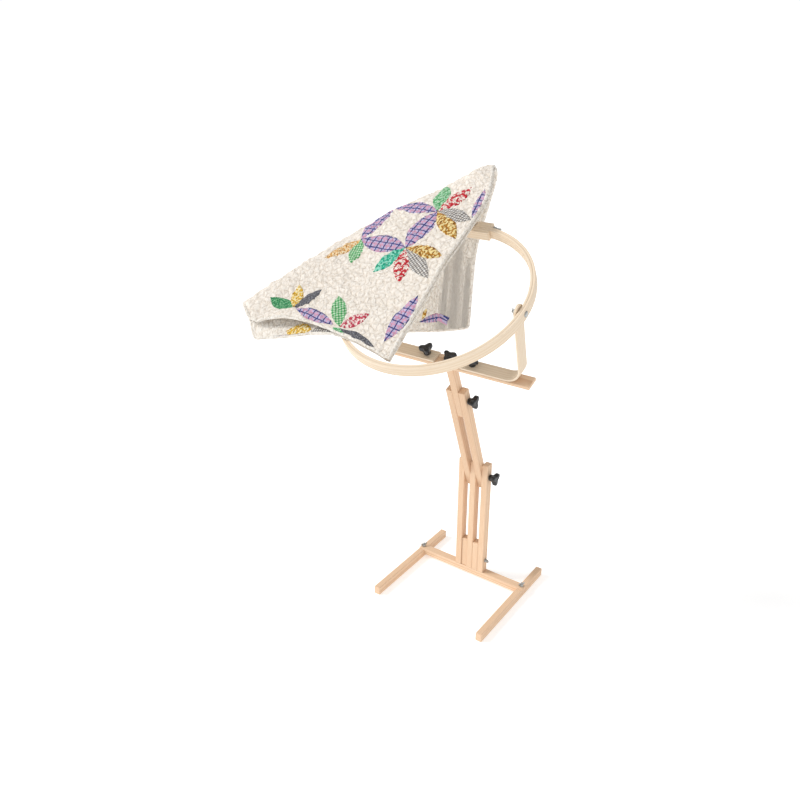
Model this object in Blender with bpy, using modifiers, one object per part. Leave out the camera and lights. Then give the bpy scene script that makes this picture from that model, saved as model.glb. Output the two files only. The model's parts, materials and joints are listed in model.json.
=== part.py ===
"""A folded patchwork quilt draped over an adjustable hardwood quilting-hoop floor stand.

The stand is an H-shaped base with a laminated post, two tilting arm stages, a swivelling
support board with two bentwood brackets, and a split clamping hoop hung between them.
Lengths are in metres and angles in radians. +X runs along the crossbar, +Y points away
from the sitter and +Z is up. The post's centre line is the datum while the pieces are
built, and the whole stand is then centred over the middle of its footprint.
"""

from math import cos, pi, radians, sin, sqrt

import bmesh
import bpy
import numpy as np
from mathutils import Matrix, Vector

COLLECTION_NAME = "quilt_on_hoop_stand"

# Stock that every straight stick is sawn from, and the gap between touching pieces
LAYER = 0.01905
STOCK_DEPTH = 0.0265
GAP = 0.0003
EDGE_ROUND = 0.0012

# Base
SPAN = 0.3713
FOOT_HEIGHT = 0.0253
FOOT_FRONT = 0.2530
FOOT_BACK = 0.1190
CROSSBAR_UNDERSIDE = 0.0094

# Post
POST_HEIGHT = 0.3746
SPACER_HEIGHT = 0.0975
LEFT_SPACER_RECESS = 0.003
POST_BOLT_RISE = 0.040
LOWER_PIVOT_DROP = 0.0411

# Arms, with each lean measured forwards from the piece below
LOWER_LEAN = 0.3616
LOWER_REACH = 0.2991
LOWER_TAIL = 0.0457
LOWER_HEAD = 0.0350
UPPER_LEAN = 0.0287
UPPER_REACH = 0.1250
UPPER_TAIL = 0.0588

# Support board and its adjusting slots
BOARD_LENGTH = 0.470
BOARD_WIDTH = 0.040
BOARD_THICKNESS = 0.0095
SLOT_START = 0.052
SLOT_END = 0.120

# Bentwood brackets
BRACKET_WIDTH = 0.038
BRACKET_THICKNESS = 0.006
BRACKET_INNER_END = 0.040
BRACKET_KNOB_AT = 0.069
BRACKET_BEND_RADIUS = 0.047
BRACKET_SPLAY = radians(4.0)
BRACKET_HEAD = 0.021
PIVOT_RISE = 0.2146

# Hoops
HOOP_TILT = 0.1209
HOOP_RADIUS = 0.2453
HOOP_WALL = 0.00635
HOOP_HEIGHT = 0.026
HOOP_SIDES = 72
SPLIT_AT = -0.014
SPLIT_WIDTH = 0.004
CLAMP_BLOCK_LENGTH = 0.044
CLAMP_BLOCK_DEPTH = 0.0140
CLAMP_BLOCK_HEIGHT = 0.0245
INNER_BLOCK_LEFT = -0.050
INNER_BLOCK_RIGHT = 0.034
INNER_BLOCK_DEPTH = 0.012

# Fasteners
BOLT_RADIUS = 0.0031
BOLT_CLEARANCE = 0.0004
BOLT_HEAD_RADIUS = 0.0075
BOLT_HEAD_HEIGHT = 0.0030
STUD_RADIUS = 0.0040
STUD_DEPTH = 0.035
SCREW_RADIUS = 0.0018
SCREW_LENGTH = 0.042
WASHER_RADIUS = 0.0085
WASHER_THICKNESS = 0.0015
NUT_HUB_RADIUS = 0.0058
NUT_HUB_HEIGHT = 0.0075
NUT_WING_RADIUS = 0.0105
NUT_WING_HEIGHT = 0.0125
THREAD_TAIL = 0.0125
KNOB_RADIUS = 0.0205
KNOB_HUB_RADIUS = 0.0095
KNOB_HUB_HEIGHT = 0.0110
KNOB_HEIGHT = 0.0235
KNOB_BORE_DEPTH = 0.0160

# Quilt, folded in half to two layers, and the seat over the hoop's
# centre and the hoop radius that its cage is drawn for
QUILT_THICKNESS = 0.016
QUILT_SEAT = (0.0, -0.248908, 0.982869)
QUILT_HOOP_RADIUS = 0.2453
QUILT_COLUMNS = 20
QUILT_ROWS = 26
# The drape's middle surface, as rows from the front hem over the ridge to the bottom fold
# behind, each with a point at the right edge, half way along and at the left tip
QUILT_CAGE = (
    ((0.008, -0.4335, 0.861), (-0.200, -0.4200, 0.8892), (-0.405, -0.4310, 0.852)),
    ((0.010, -0.2435, 1.016), (-0.215, -0.3000, 0.9613), (-0.430, -0.4300, 0.868)),
    ((0.010, -0.0535, 1.134), (-0.230, -0.1800, 1.047), (-0.450, -0.4240, 0.885)),
    ((0.000, 0.0495, 1.196), (-0.245, -0.1000, 1.090), (-0.472, -0.4060, 0.893)),
    ((-0.030, 0.1145, 1.204), (-0.262, -0.0480, 1.093), (-0.480, -0.3850, 0.888)),
    ((-0.070, 0.1395, 1.130), (-0.282, -0.0180, 1.045), (-0.476, -0.3560, 0.872)),
    ((-0.105, 0.1295, 0.980), (-0.296, -0.0160, 0.925), (-0.462, -0.3160, 0.842)),
    ((-0.112, 0.1195, 0.795), (-0.300, -0.0350, 0.770), (-0.445, -0.2850, 0.806)),
)


def clear_scene():
    """Removes every object of the scene."""
    for obj in list(bpy.data.objects):
        bpy.data.objects.remove(obj, do_unlink=True)


def new_collection(name):
    """Returns a new collection linked to the scene."""
    collection = bpy.data.collections.new(name)
    bpy.context.scene.collection.children.link(collection)
    return collection


clear_scene()
PARTS = new_collection(COLLECTION_NAME)
CUTTERS = new_collection("cutters")
CUTTERS.hide_render = True


def material(name, colour, roughness, metallic=0.0):
    """Returns a Principled material with this base colour, roughness and metallic value."""
    made = bpy.data.materials.new(name)
    made.use_nodes = True
    shader = made.node_tree.nodes["Principled BSDF"]
    shader.inputs["Base Color"].default_value = (*colour, 1.0)
    shader.inputs["Roughness"].default_value = roughness
    shader.inputs["Metallic"].default_value = metallic
    made.diffuse_color = (*colour, 1.0)
    return made


def wood(name):
    """Pale sanded hardwood."""
    return material(name, (0.76, 0.53, 0.36), 0.55)


def bentwood(name):
    """Steam-bent hoop wood, a little greyer than the sticks."""
    return material(name, (0.70, 0.60, 0.44), 0.50)


def zinc(name):
    """Zinc-plated steel."""
    return material(name, (0.62, 0.62, 0.60), 0.35, 1.0)


def black_plastic(name):
    """Moulded black plastic."""
    return material(name, (0.015, 0.015, 0.016), 0.40)


def add_object(name, mesh, parent, location, rotation, finish, collection):
    """Links a mesh under its parent empty, spun about its own Z before it is tipped over."""
    obj = bpy.data.objects.new(name, mesh)
    collection.objects.link(obj)
    obj.parent = parent
    obj.location = location
    obj.rotation_mode = "ZYX"
    obj.rotation_euler = rotation
    if finish is not None:
        mesh.materials.append(finish(name))
    return obj


def empty(name, parent, location, lean=0.0):
    """Adds an empty that stands on a joint's axis and leans forwards about +X."""
    obj = bpy.data.objects.new(name, None)
    PARTS.objects.link(obj)
    obj.parent = parent
    obj.location = location
    obj.rotation_euler = (lean, 0.0, 0.0)
    return obj


def mesh_from(bm, name):
    """Turns a bmesh into a mesh."""
    mesh = bpy.data.meshes.new(name)
    bm.to_mesh(mesh)
    bm.free()
    return mesh


def block_mesh(name, size):
    """Returns a cuboid mesh of this size about its centre."""
    bm = bmesh.new()
    bmesh.ops.create_cube(bm, size=1.0, matrix=Matrix.Diagonal((*size, 1.0)))
    return mesh_from(bm, name)


def rod_mesh(name, radius, length, sides):
    """Returns a cylinder mesh along Z about its centre."""
    bm = bmesh.new()
    bmesh.ops.create_cone(
        bm, cap_ends=True, segments=sides, radius1=radius, radius2=radius, depth=length
    )
    return mesh_from(bm, name)


def block(name, size, centre, parent, finish, rounding=EDGE_ROUND):
    """Adds a stick or block with rounded edges."""
    obj = add_object(name, block_mesh(name, size), parent, centre, (0, 0, 0), finish, PARTS)
    if rounding:
        bevel = obj.modifiers.new("rounded_edges", "BEVEL")
        bevel.width = rounding
        bevel.segments = 1
        bevel.limit_method = "ANGLE"
    return obj


def as_cutter(obj):
    """Marks an object as a cutter, which is no part of the stand."""
    obj.hide_render = True
    obj.display_type = "WIRE"
    return obj


def box_cutter(name, size, centre, parent):
    """Adds a box that cuts."""
    mesh = block_mesh(name, size)
    return as_cutter(add_object(name, mesh, parent, centre, (0, 0, 0), None, CUTTERS))


def rod_cutter(name, radius, length, centre, rotation, parent, sides=16):
    """Adds a cylinder that cuts."""
    mesh = rod_mesh(name, radius, length, sides)
    return as_cutter(add_object(name, mesh, parent, centre, rotation, None, CUTTERS))


def slot_cutter(name, radius, start, end, depth, centre_z, parent):
    """Adds a round-ended slot cutter along X, a cylinder whose two halves are drawn apart."""
    bm = bmesh.new()
    bmesh.ops.create_cone(
        bm, cap_ends=True, segments=18, radius1=radius, radius2=radius, depth=depth
    )
    for vertex in bm.verts:
        vertex.co.x += start if vertex.co.x < 0 else end
    mesh = mesh_from(bm, name)
    return as_cutter(
        add_object(name, mesh, parent, (0, 0, centre_z), (0, 0, 0), None, CUTTERS)
    )


def boolean(obj, cutter, operation="DIFFERENCE"):
    """Cuts an object with a cutter, or keeps only what they share."""
    modifier = obj.modifiers.new(cutter.name, "BOOLEAN")
    modifier.operation = operation
    modifier.solver = "EXACT"
    modifier.object = cutter


ALONG_X = (0, pi / 2, 0)
AGAINST_X = (0, -pi / 2, 0)
UPRIGHT = (0, 0, 0)


def turned(name, profile, parent, location, rotation, finish, steps=14):
    """Adds a piece turned about its local Z from a profile of (radius, height) points.

    The profile runs down the outer side from the top to the bottom.
    """
    mesh = bpy.data.meshes.new(name)
    edges = [(i, i + 1) for i in range(len(profile) - 1)]
    if min(profile[0][0], profile[-1][0]) > 0:
        edges.append((len(profile) - 1, 0))
    mesh.from_pydata([(radius, 0, height) for radius, height in profile], edges, [])
    obj = add_object(name, mesh, parent, location, rotation, finish, PARTS)
    screw = obj.modifiers.new("turned", "SCREW")
    screw.steps = steps
    screw.render_steps = steps
    screw.use_merge_vertices = True
    screw.merge_threshold = 0.0001
    return obj


def carriage_bolt(name, length, parent, location, rotation, radius=BOLT_RADIUS):
    """Adds a bolt with a low domed head below its local origin and a shank of this length above."""
    profile = (
        (0, length),
        (radius * 0.8, length),
        (radius, length - 0.0008),
        (radius, 0),
        (BOLT_HEAD_RADIUS, 0),
        (BOLT_HEAD_RADIUS * 0.92, -BOLT_HEAD_HEIGHT * 0.5),
        (0, -BOLT_HEAD_HEIGHT),
    )
    return turned(name, profile, parent, location, rotation, zinc)


def washer(name, parent, location, rotation, bore=BOLT_RADIUS + BOLT_CLEARANCE):
    """Adds a flat washer that sits on its local origin."""
    profile = (
        (WASHER_RADIUS, WASHER_THICKNESS),
        (WASHER_RADIUS, 0),
        (bore, 0),
        (bore, WASHER_THICKNESS),
    )
    return turned(name, profile, parent, location, rotation, zinc)


def lofted_mesh(name, rings):
    """Joins rings of equally many points into one closed surface with a flat cap at each end."""
    bm = bmesh.new()
    loops = [[bm.verts.new(point) for point in ring] for ring in rings]
    count = len(loops[0])
    for lower, upper in zip(loops, loops[1:]):
        for i in range(count):
            j = (i + 1) % count
            bm.faces.new((lower[i], lower[j], upper[j], upper[i]))
    bm.faces.new(loops[0][::-1])
    bm.faces.new(loops[-1])
    bmesh.ops.recalc_face_normals(bm, faces=bm.faces)
    return mesh_from(bm, name)


def ring(radius_of, height_of, angles):
    """Returns a ring of points whose radius and height are functions of the angle."""
    return [
        (radius_of(a) * cos(a), radius_of(a) * sin(a), height_of(a)) for a in angles
    ]


def knob(name, bore, parent, location, rotation):
    """Adds a three-lobed clamping knob with a blind bore, standing on its local origin."""
    angles = [2 * pi * i / 24 for i in range(24)]

    def level(radius, lobes, height):
        """A ring whose lobes stand out at three places, from round at 0 to full at 1."""
        waist = KNOB_HUB_RADIUS
        return ring(
            lambda a: radius + lobes * (KNOB_RADIUS - waist) * (0.5 + 0.5 * cos(3 * a)) ** 1.5,
            lambda a: height,
            angles,
        )

    levels = (
        (bore, 0.0, KNOB_BORE_DEPTH),
        (bore, 0.0, 0.0),
        (KNOB_HUB_RADIUS, 0.0, 0.0),
        (KNOB_HUB_RADIUS, 0.9, KNOB_HUB_HEIGHT),
        (KNOB_HUB_RADIUS, 1.0, KNOB_HUB_HEIGHT + 0.003),
        (KNOB_HUB_RADIUS, 1.0, KNOB_HEIGHT - 0.002),
        (KNOB_HUB_RADIUS * 0.8, 0.85, KNOB_HEIGHT),
    )
    mesh = lofted_mesh(name, [level(*row) for row in levels])
    return add_object(name, mesh, parent, location, rotation, black_plastic, PARTS)


def wing_nut(name, parent, location, rotation):
    """Adds a wing nut with a through bore, standing on its local origin."""
    steps = [2 * pi * i / 20 for i in range(20)]
    angles = [a - 0.4 * sin(2 * a) for a in steps]
    bore = BOLT_RADIUS + BOLT_CLEARANCE
    wing = NUT_WING_RADIUS - NUT_HUB_RADIUS

    def level(radius, wings, height, lift):
        """A ring with two wings on the local X axis that reach out and rise."""
        return ring(
            lambda a: radius + wings * wing * abs(cos(a)) ** 12,
            lambda a: height + lift * abs(cos(a)) ** 12,
            angles,
        )

    rise = NUT_WING_HEIGHT - NUT_HUB_HEIGHT
    levels = (
        (bore, 0.0, NUT_HUB_HEIGHT, 0.0),
        (NUT_HUB_RADIUS * 0.85, 0.0, NUT_HUB_HEIGHT, 0.0),
        (NUT_HUB_RADIUS, 1.0, NUT_HUB_HEIGHT, rise),
        (NUT_HUB_RADIUS, 1.0, NUT_HUB_HEIGHT * 0.55, rise * 0.8),
        (NUT_HUB_RADIUS, 0.25, NUT_HUB_HEIGHT * 0.25, 0.0),
        (NUT_HUB_RADIUS, 0.0, 0.0, 0.0),
        (bore, 0.0, 0.0, 0.0),
    )
    bm = bmesh.new()
    bm.from_mesh(lofted_mesh(name, [level(*row) for row in levels]))
    caps = [face for face in bm.faces if len(face.verts) == len(angles)]
    edges = [edge for face in caps for edge in face.edges]
    bmesh.ops.delete(bm, geom=caps, context="FACES_ONLY")
    bmesh.ops.bridge_loops(bm, edges=edges)
    bmesh.ops.recalc_face_normals(bm, faces=bm.faces)
    mesh = mesh_from(bm, name)
    return add_object(name, mesh, parent, location, rotation, zinc, PARTS)


def bore(obj, name, centre, rotation, parent, length, radius=BOLT_RADIUS + BOLT_CLEARANCE):
    """Drills a hole through a piece."""
    boolean(obj, rod_cutter(name, radius, length, centre, rotation, parent))


STAND = empty("stand", None, (0, 0, 0))
CROSSBAR_TOP = CROSSBAR_UNDERSIDE + LAYER
PITCH = LAYER + GAP
POST_HALF = 2 * PITCH + LAYER / 2
SIDES = (("left", -1), ("right", 1))


def build_base():
    """Two feet with a crossbar let into them, each joint held by a bolt and a wing nut."""
    foot_x = SPAN / 2 - LAYER / 2
    foot_length = FOOT_FRONT + FOOT_BACK
    foot_y = (FOOT_BACK - FOOT_FRONT) / 2
    crossbar = block(
        "crossbar",
        (SPAN, STOCK_DEPTH, LAYER),
        (0, 0, CROSSBAR_UNDERSIDE + LAYER / 2),
        STAND,
        wood,
    )
    head_seat = BOLT_HEAD_HEIGHT + 0.0014
    for side, sign in SIDES:
        x = sign * foot_x
        foot = block(
            f"{side}_foot",
            (LAYER, foot_length, FOOT_HEIGHT),
            (x, foot_y, FOOT_HEIGHT / 2),
            STAND,
            wood,
        )
        notch_height = FOOT_HEIGHT
        notch = box_cutter(
            f"{side}_foot_notch",
            (2 * LAYER, STOCK_DEPTH + 2 * GAP, notch_height),
            (x, 0, CROSSBAR_UNDERSIDE - GAP + notch_height / 2),
            STAND,
        )
        boolean(foot, notch)
        bore(foot, f"{side}_foot_hole", (x, 0, 0), UPRIGHT, STAND, 4 * FOOT_HEIGHT)
        recess = rod_cutter(
            f"{side}_foot_recess",
            BOLT_HEAD_RADIUS + 2 * BOLT_CLEARANCE,
            2 * head_seat,
            (x, 0, 0),
            UPRIGHT,
            STAND,
            20,
        )
        boolean(foot, recess)
        bore(crossbar, f"{side}_crossbar_hole", (x, 0, 0), UPRIGHT, STAND, 4 * FOOT_HEIGHT)
        seat = head_seat - GAP
        shank = CROSSBAR_TOP + THREAD_TAIL - seat
        carriage_bolt(f"{side}_foot_bolt", shank, STAND, (x, 0, seat), UPRIGHT)
        wing_nut(f"{side}_foot_wing_nut", STAND, (x, 0, CROSSBAR_TOP + GAP), (0, 0, pi / 3))
    return crossbar


def build_post(crossbar):
    """Three uprights with two low spacers between them, bolted through and screwed to the crossbar."""
    bolt_z = CROSSBAR_TOP + POST_BOLT_RISE
    pivot_z = CROSSBAR_TOP + POST_HEIGHT - LOWER_PIVOT_DROP
    base_z = CROSSBAR_TOP + GAP
    for name, layer in (("left", -2), ("middle", 0), ("right", 2)):
        upright = block(
            f"{name}_upright",
            (LAYER, STOCK_DEPTH, POST_HEIGHT - GAP),
            (layer * PITCH, 0, base_z + (POST_HEIGHT - GAP) / 2),
            STAND,
            wood,
        )
        for height, hole in ((bolt_z, "post_hole"), (pivot_z, "pivot_hole")):
            place = (layer * PITCH, 0, height)
            bore(upright, f"{name}_{hole}", place, ALONG_X, STAND, 2 * LAYER)
    screw_bore = SCREW_RADIUS + GAP
    head_depth = 0.0035
    for side, sign in SIDES:
        recess = LEFT_SPACER_RECESS if side == "left" else 0.0
        x = sign * PITCH
        spacer = block(
            f"{side}_spacer",
            (LAYER, STOCK_DEPTH - recess, SPACER_HEIGHT),
            (x, recess / 2, base_z + SPACER_HEIGHT / 2),
            STAND,
            wood,
        )
        bore(spacer, f"{side}_spacer_hole", (x, 0, bolt_z), ALONG_X, STAND, 2 * LAYER)
        screw_place = (x, 0, CROSSBAR_UNDERSIDE)
        for piece in (spacer, crossbar):
            cutter_name = f"{piece.name}_{side}_screw_hole"
            reach = 2 * (SCREW_LENGTH + GAP)
            bore(piece, cutter_name, screw_place, UPRIGHT, STAND, reach, screw_bore)
        cup = rod_cutter(
            f"{side}_screw_cup", 0.0042, 2 * head_depth, screw_place, UPRIGHT, STAND
        )
        boolean(crossbar, cup)
        profile = (
            (0, SCREW_LENGTH),
            (SCREW_RADIUS, SCREW_LENGTH - 0.004),
            (SCREW_RADIUS, head_depth - GAP),
            (0.0038, head_depth - GAP),
            (0.0038, 0.0005),
            (0, 0.0005),
        )
        turned(f"{side}_post_screw", profile, STAND, screw_place, UPRIGHT, zinc, 12)
    through = 2 * POST_HALF + GAP
    left_end = -POST_HALF - GAP
    carriage_bolt(
        "post_bolt", through + THREAD_TAIL, STAND, (left_end, 0, bolt_z), ALONG_X
    )
    wing_nut("post_wing_nut", STAND, (POST_HALF + GAP, 0, bolt_z), (0, pi / 2, 0.4))
    clamp_bolt("lower", STAND, pivot_z, POST_HALF)
    return pivot_z


def clamp_bolt(name, parent, height, half_width):
    """A pivot bolt along X with its washer, and its knob on the right."""
    stack = 2 * half_width + WASHER_THICKNESS + 3 * GAP
    tail = KNOB_BORE_DEPTH - 0.001
    start = -half_width - GAP
    carriage_bolt(f"{name}_pivot_bolt", stack + tail, parent, (start, 0, height), ALONG_X)
    washer_x = half_width + GAP
    washer(f"{name}_pivot_washer", parent, (washer_x, 0, height), ALONG_X)
    knob_x = washer_x + WASHER_THICKNESS + GAP
    hole = BOLT_RADIUS + BOLT_CLEARANCE
    knob(f"{name}_knob", hole, parent, (knob_x, 0, height), (0, pi / 2, 0))


def build_lower_arms(pivot_z):
    """Two parallel arms that tilt between the uprights, and the bolt at their upper end."""
    pivot = empty("lower_pivot", STAND, (0, 0, pivot_z), LOWER_LEAN)
    length = LOWER_TAIL + LOWER_REACH + LOWER_HEAD
    middle = (LOWER_REACH + LOWER_HEAD - LOWER_TAIL) / 2
    for side, sign in SIDES:
        x = sign * PITCH
        arm = block(
            f"{side}_lower_arm", (LAYER, STOCK_DEPTH, length), (x, 0, middle), pivot, wood
        )
        for height, hole in ((0, "pivot_hole"), (LOWER_REACH, "head_hole")):
            bore(arm, f"{side}_arm_{hole}", (x, 0, height), ALONG_X, pivot, 2 * LAYER)
    clamp_bolt("upper", pivot, LOWER_REACH, PITCH + LAYER / 2)
    return pivot


def build_upper_arm(lower_pivot):
    """One arm that tilts between the two lower arms, with the swivel stud in its end grain."""
    pivot = empty("upper_pivot", lower_pivot, (0, 0, LOWER_REACH), UPPER_LEAN)
    top = UPPER_REACH - GAP
    arm = block(
        "upper_arm",
        (LAYER, STOCK_DEPTH, UPPER_TAIL + top),
        (0, 0, (top - UPPER_TAIL) / 2),
        pivot,
        wood,
    )
    bore(arm, "upper_arm_pivot_hole", (0, 0, 0), ALONG_X, pivot, 2 * LAYER)
    stud_hole = STUD_RADIUS + GAP
    depth = 2 * (STUD_DEPTH + GAP)
    bore(arm, "upper_arm_stud_hole", (0, 0, top), UPRIGHT, pivot, depth, stud_hole)
    stud_top = BOARD_THICKNESS + WASHER_THICKNESS + 3 * GAP + KNOB_BORE_DEPTH - 0.001
    profile = (
        (0, stud_top),
        (STUD_RADIUS * 0.8, stud_top),
        (STUD_RADIUS, stud_top - 0.0008),
        (STUD_RADIUS, -STUD_DEPTH),
        (0, -STUD_DEPTH),
    )
    turned("head_stud", profile, pivot, (0, 0, top), UPRIGHT, zinc)
    return pivot


def bracket_path():
    """Points (along X, up) of a bracket's middle line: leg, bend and upright, with its direction."""
    half = BRACKET_THICKNESS / 2
    base = BOARD_THICKNESS + GAP + half
    turn = pi / 2 - BRACKET_SPLAY
    radius = BRACKET_BEND_RADIUS
    pivot_x = HOOP_RADIUS - 2 * HOOP_WALL - 3 * GAP - WASHER_THICKNESS - half - 0.0012
    pivot_z = BOARD_THICKNESS + PIVOT_RISE
    straight = (pivot_z - base - radius * (1 - cos(turn))) / sin(turn)
    bend_x = pivot_x - straight * cos(turn) - radius * sin(turn)
    points = [(BRACKET_INNER_END, base, 0.0), (BRACKET_KNOB_AT, base, 0.0)]
    for i in range(9):
        a = turn * i / 8
        points.append((bend_x + radius * sin(a), base + radius * (1 - cos(a)), a))
    points.append((pivot_x, pivot_z, turn))
    return points, pivot_x, pivot_z


def bracket_rows():
    """Rows (x, up, half width) along a bracket, whose upper end is rounded in an arc."""
    points, _, _ = bracket_path()
    rows = [(x, z, BRACKET_WIDTH / 2) for x, z, _ in points[:-1]]
    pivot_x, pivot_z, turn = points[-1]
    arc = BRACKET_WIDTH / 2
    shift = BRACKET_HEAD - arc
    for i in range(7):
        a = radians(78) * i / 6
        along = shift + arc * sin(a)
        rows.append(
            (pivot_x + along * cos(turn), pivot_z + along * sin(turn), arc * cos(a))
        )
    return rows


def build_bracket(side, sign, head):
    """A bentwood bracket whose leg is clamped to the board and whose top carries the hoop."""
    name = f"{side}_bracket"
    rows = bracket_rows()
    bm = bmesh.new()
    pairs = [
        [bm.verts.new((sign * x, y, z)) for y in (-width, width)] for x, z, width in rows
    ]
    for (a, b), (d, c) in zip(pairs, pairs[1:]):
        bm.faces.new((a, b, c, d) if sign > 0 else (d, c, b, a))
    mesh = mesh_from(bm, name)
    bracket = add_object(name, mesh, head, (0, 0, 0), UPRIGHT, bentwood, PARTS)
    solidify = bracket.modifiers.new("strip", "SOLIDIFY")
    solidify.thickness = BRACKET_THICKNESS
    solidify.offset = 0.0
    solidify.use_even_offset = True
    _, pivot_x, pivot_z = bracket_path()
    wide = 8 * BRACKET_THICKNESS
    bore(bracket, f"{name}_pivot_hole", (sign * pivot_x, 0, pivot_z), ALONG_X, head, wide)
    x = sign * BRACKET_KNOB_AT
    bore(bracket, f"{name}_foot_hole", (x, 0, BOARD_THICKNESS), UPRIGHT, head, wide)
    leg_top = BOARD_THICKNESS + GAP + BRACKET_THICKNESS + GAP
    tail = WASHER_THICKNESS + GAP + KNOB_BORE_DEPTH - 0.001
    carriage_bolt(f"{name}_bolt", leg_top + tail + GAP, head, (x, 0, -GAP), UPRIGHT)
    washer(f"{name}_washer", head, (x, 0, leg_top), UPRIGHT)
    hole = BOLT_RADIUS + BOLT_CLEARANCE
    knob_z = leg_top + WASHER_THICKNESS + GAP
    knob(f"{name}_knob", hole, head, (x, 0, knob_z), (0, 0, pi / 2 + sign * 0.3))


def build_head(upper_pivot):
    """The support board that swivels on the stud, with its slots, brackets and middle knob."""
    head = empty("head_swivel", upper_pivot, (0, 0, UPPER_REACH))
    board = block(
        "support_board",
        (BOARD_LENGTH, BOARD_WIDTH, BOARD_THICKNESS),
        (0, 0, BOARD_THICKNESS / 2),
        head,
        wood,
    )
    stud_hole = STUD_RADIUS + BOLT_CLEARANCE
    thick = 4 * BOARD_THICKNESS
    bore(board, "board_stud_hole", (0, 0, 0), UPRIGHT, head, thick, stud_hole)
    for side, sign in SIDES:
        ends = sorted((sign * SLOT_START, sign * SLOT_END))
        slot = slot_cutter(
            f"{side}_slot", BOLT_RADIUS + BOLT_CLEARANCE, *ends, thick, 0, head
        )
        boolean(board, slot)
        build_bracket(side, sign, head)
    washer("head_washer", head, (0, 0, BOARD_THICKNESS + GAP), UPRIGHT, stud_hole)
    knob_z = BOARD_THICKNESS + WASHER_THICKNESS + 2 * GAP
    knob("head_knob", stud_hole, head, (0, 0, knob_z), (0, 0, 0.5))
    return head


def hoop_ring(name, outer_radius, hoop):
    """A bent strip closed into a ring, turned about the hoop's axis."""
    inner = outer_radius - HOOP_WALL
    half = HOOP_HEIGHT / 2
    profile = (
        (outer_radius, half),
        (outer_radius, -half),
        (inner, -half),
        (inner, half),
    )
    return turned(name, profile, hoop, (0, 0, 0), UPRIGHT, bentwood, HOOP_SIDES)


def build_hoop(head):
    """The inner hoop, the split outer hoop and its clamp, hung on a pivot bolt at each side."""
    _, pivot_x, pivot_z = bracket_path()
    hoop = empty("hoop_pivot", head, (0, 0, pivot_z), HOOP_TILT)
    inner_outside = HOOP_RADIUS - HOOP_WALL - GAP
    inner_inside = inner_outside - HOOP_WALL
    inner = hoop_ring("inner_hoop", inner_outside, hoop)
    outer = hoop_ring("outer_hoop", HOOP_RADIUS, hoop)
    split = box_cutter(
        "hoop_split", (SPLIT_WIDTH, 0.05, 2 * HOOP_HEIGHT), (SPLIT_AT, HOOP_RADIUS, 0), hoop
    )
    boolean(outer, split)
    for side, sign in SIDES:
        place = (sign * HOOP_RADIUS, 0, 0)
        for piece in (inner, outer):
            hole = f"{piece.name}_{side}_hole"
            bore(piece, hole, place, ALONG_X, hoop, 8 * HOOP_WALL)
        inward = AGAINST_X if sign > 0 else ALONG_X
        arm_inside = pivot_x - BRACKET_THICKNESS / 2
        nut_x = arm_inside - 2 * GAP
        shank = HOOP_RADIUS + GAP - nut_x + THREAD_TAIL
        head_x = sign * (HOOP_RADIUS + GAP)
        carriage_bolt(f"{side}_hoop_bolt", shank, hoop, (head_x, 0, 0), inward)
        washer_x = sign * (inner_inside - 2 * GAP)
        washer(f"{side}_hoop_washer", hoop, (washer_x, 0, 0), inward)
        wing_nut(f"{side}_hoop_wing_nut", hoop, (sign * nut_x, 0, 0), inward)
    build_clamp(hoop, inner_inside)
    return hoop


def build_clamp(hoop, inner_inside):
    """Blocks on the outer hoop's two ends, a screw that draws them together, and the inner block."""
    recess = HOOP_RADIUS + GAP
    sagitta = recess - sqrt(recess**2 - (CLAMP_BLOCK_LENGTH - SPLIT_AT + SPLIT_WIDTH) ** 2)
    depth = CLAMP_BLOCK_DEPTH + sagitta
    screw_y = recess + CLAMP_BLOCK_DEPTH / 2
    outer_face = rod_cutter(
        "outer_hoop_face", recess, 2 * HOOP_HEIGHT, (0, 0, 0), UPRIGHT, hoop, HOOP_SIDES
    )
    for side, sign in SIDES:
        x = SPLIT_AT + sign * (SPLIT_WIDTH + CLAMP_BLOCK_LENGTH) / 2
        y = recess + CLAMP_BLOCK_DEPTH - depth / 2
        clamp = block(
            f"{side}_clamp_block",
            (CLAMP_BLOCK_LENGTH, depth, CLAMP_BLOCK_HEIGHT),
            (x, y, 0),
            hoop,
            bentwood,
        )
        boolean(clamp, outer_face)
        hole = f"{side}_clamp_hole"
        bore(clamp, hole, (x, screw_y, 0), ALONG_X, hoop, 2 * CLAMP_BLOCK_LENGTH)
    stack = 2 * CLAMP_BLOCK_LENGTH + SPLIT_WIDTH
    left_end = SPLIT_AT - stack / 2 - GAP
    right_end = SPLIT_AT + stack / 2 + GAP
    shank = stack + 2 * GAP + THREAD_TAIL + 0.008
    carriage_bolt("clamp_screw", shank, hoop, (left_end, screw_y, 0), ALONG_X)
    wing_nut("clamp_wing_nut", hoop, (right_end, screw_y, 0), (0, pi / 2, pi / 3))
    length = INNER_BLOCK_RIGHT - INNER_BLOCK_LEFT
    middle = (INNER_BLOCK_RIGHT + INNER_BLOCK_LEFT) / 2
    back = inner_inside - GAP
    inner_block = block(
        "inner_hoop_block",
        (length, 2 * INNER_BLOCK_DEPTH, CLAMP_BLOCK_HEIGHT),
        (middle, back, 0),
        hoop,
        bentwood,
        0.0,
    )
    inner_face = rod_cutter(
        "inner_hoop_face", back, 2 * HOOP_HEIGHT, (0, 0, 0), UPRIGHT, hoop, HOOP_SIDES
    )
    boolean(inner_block, inner_face, "INTERSECT")


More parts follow.
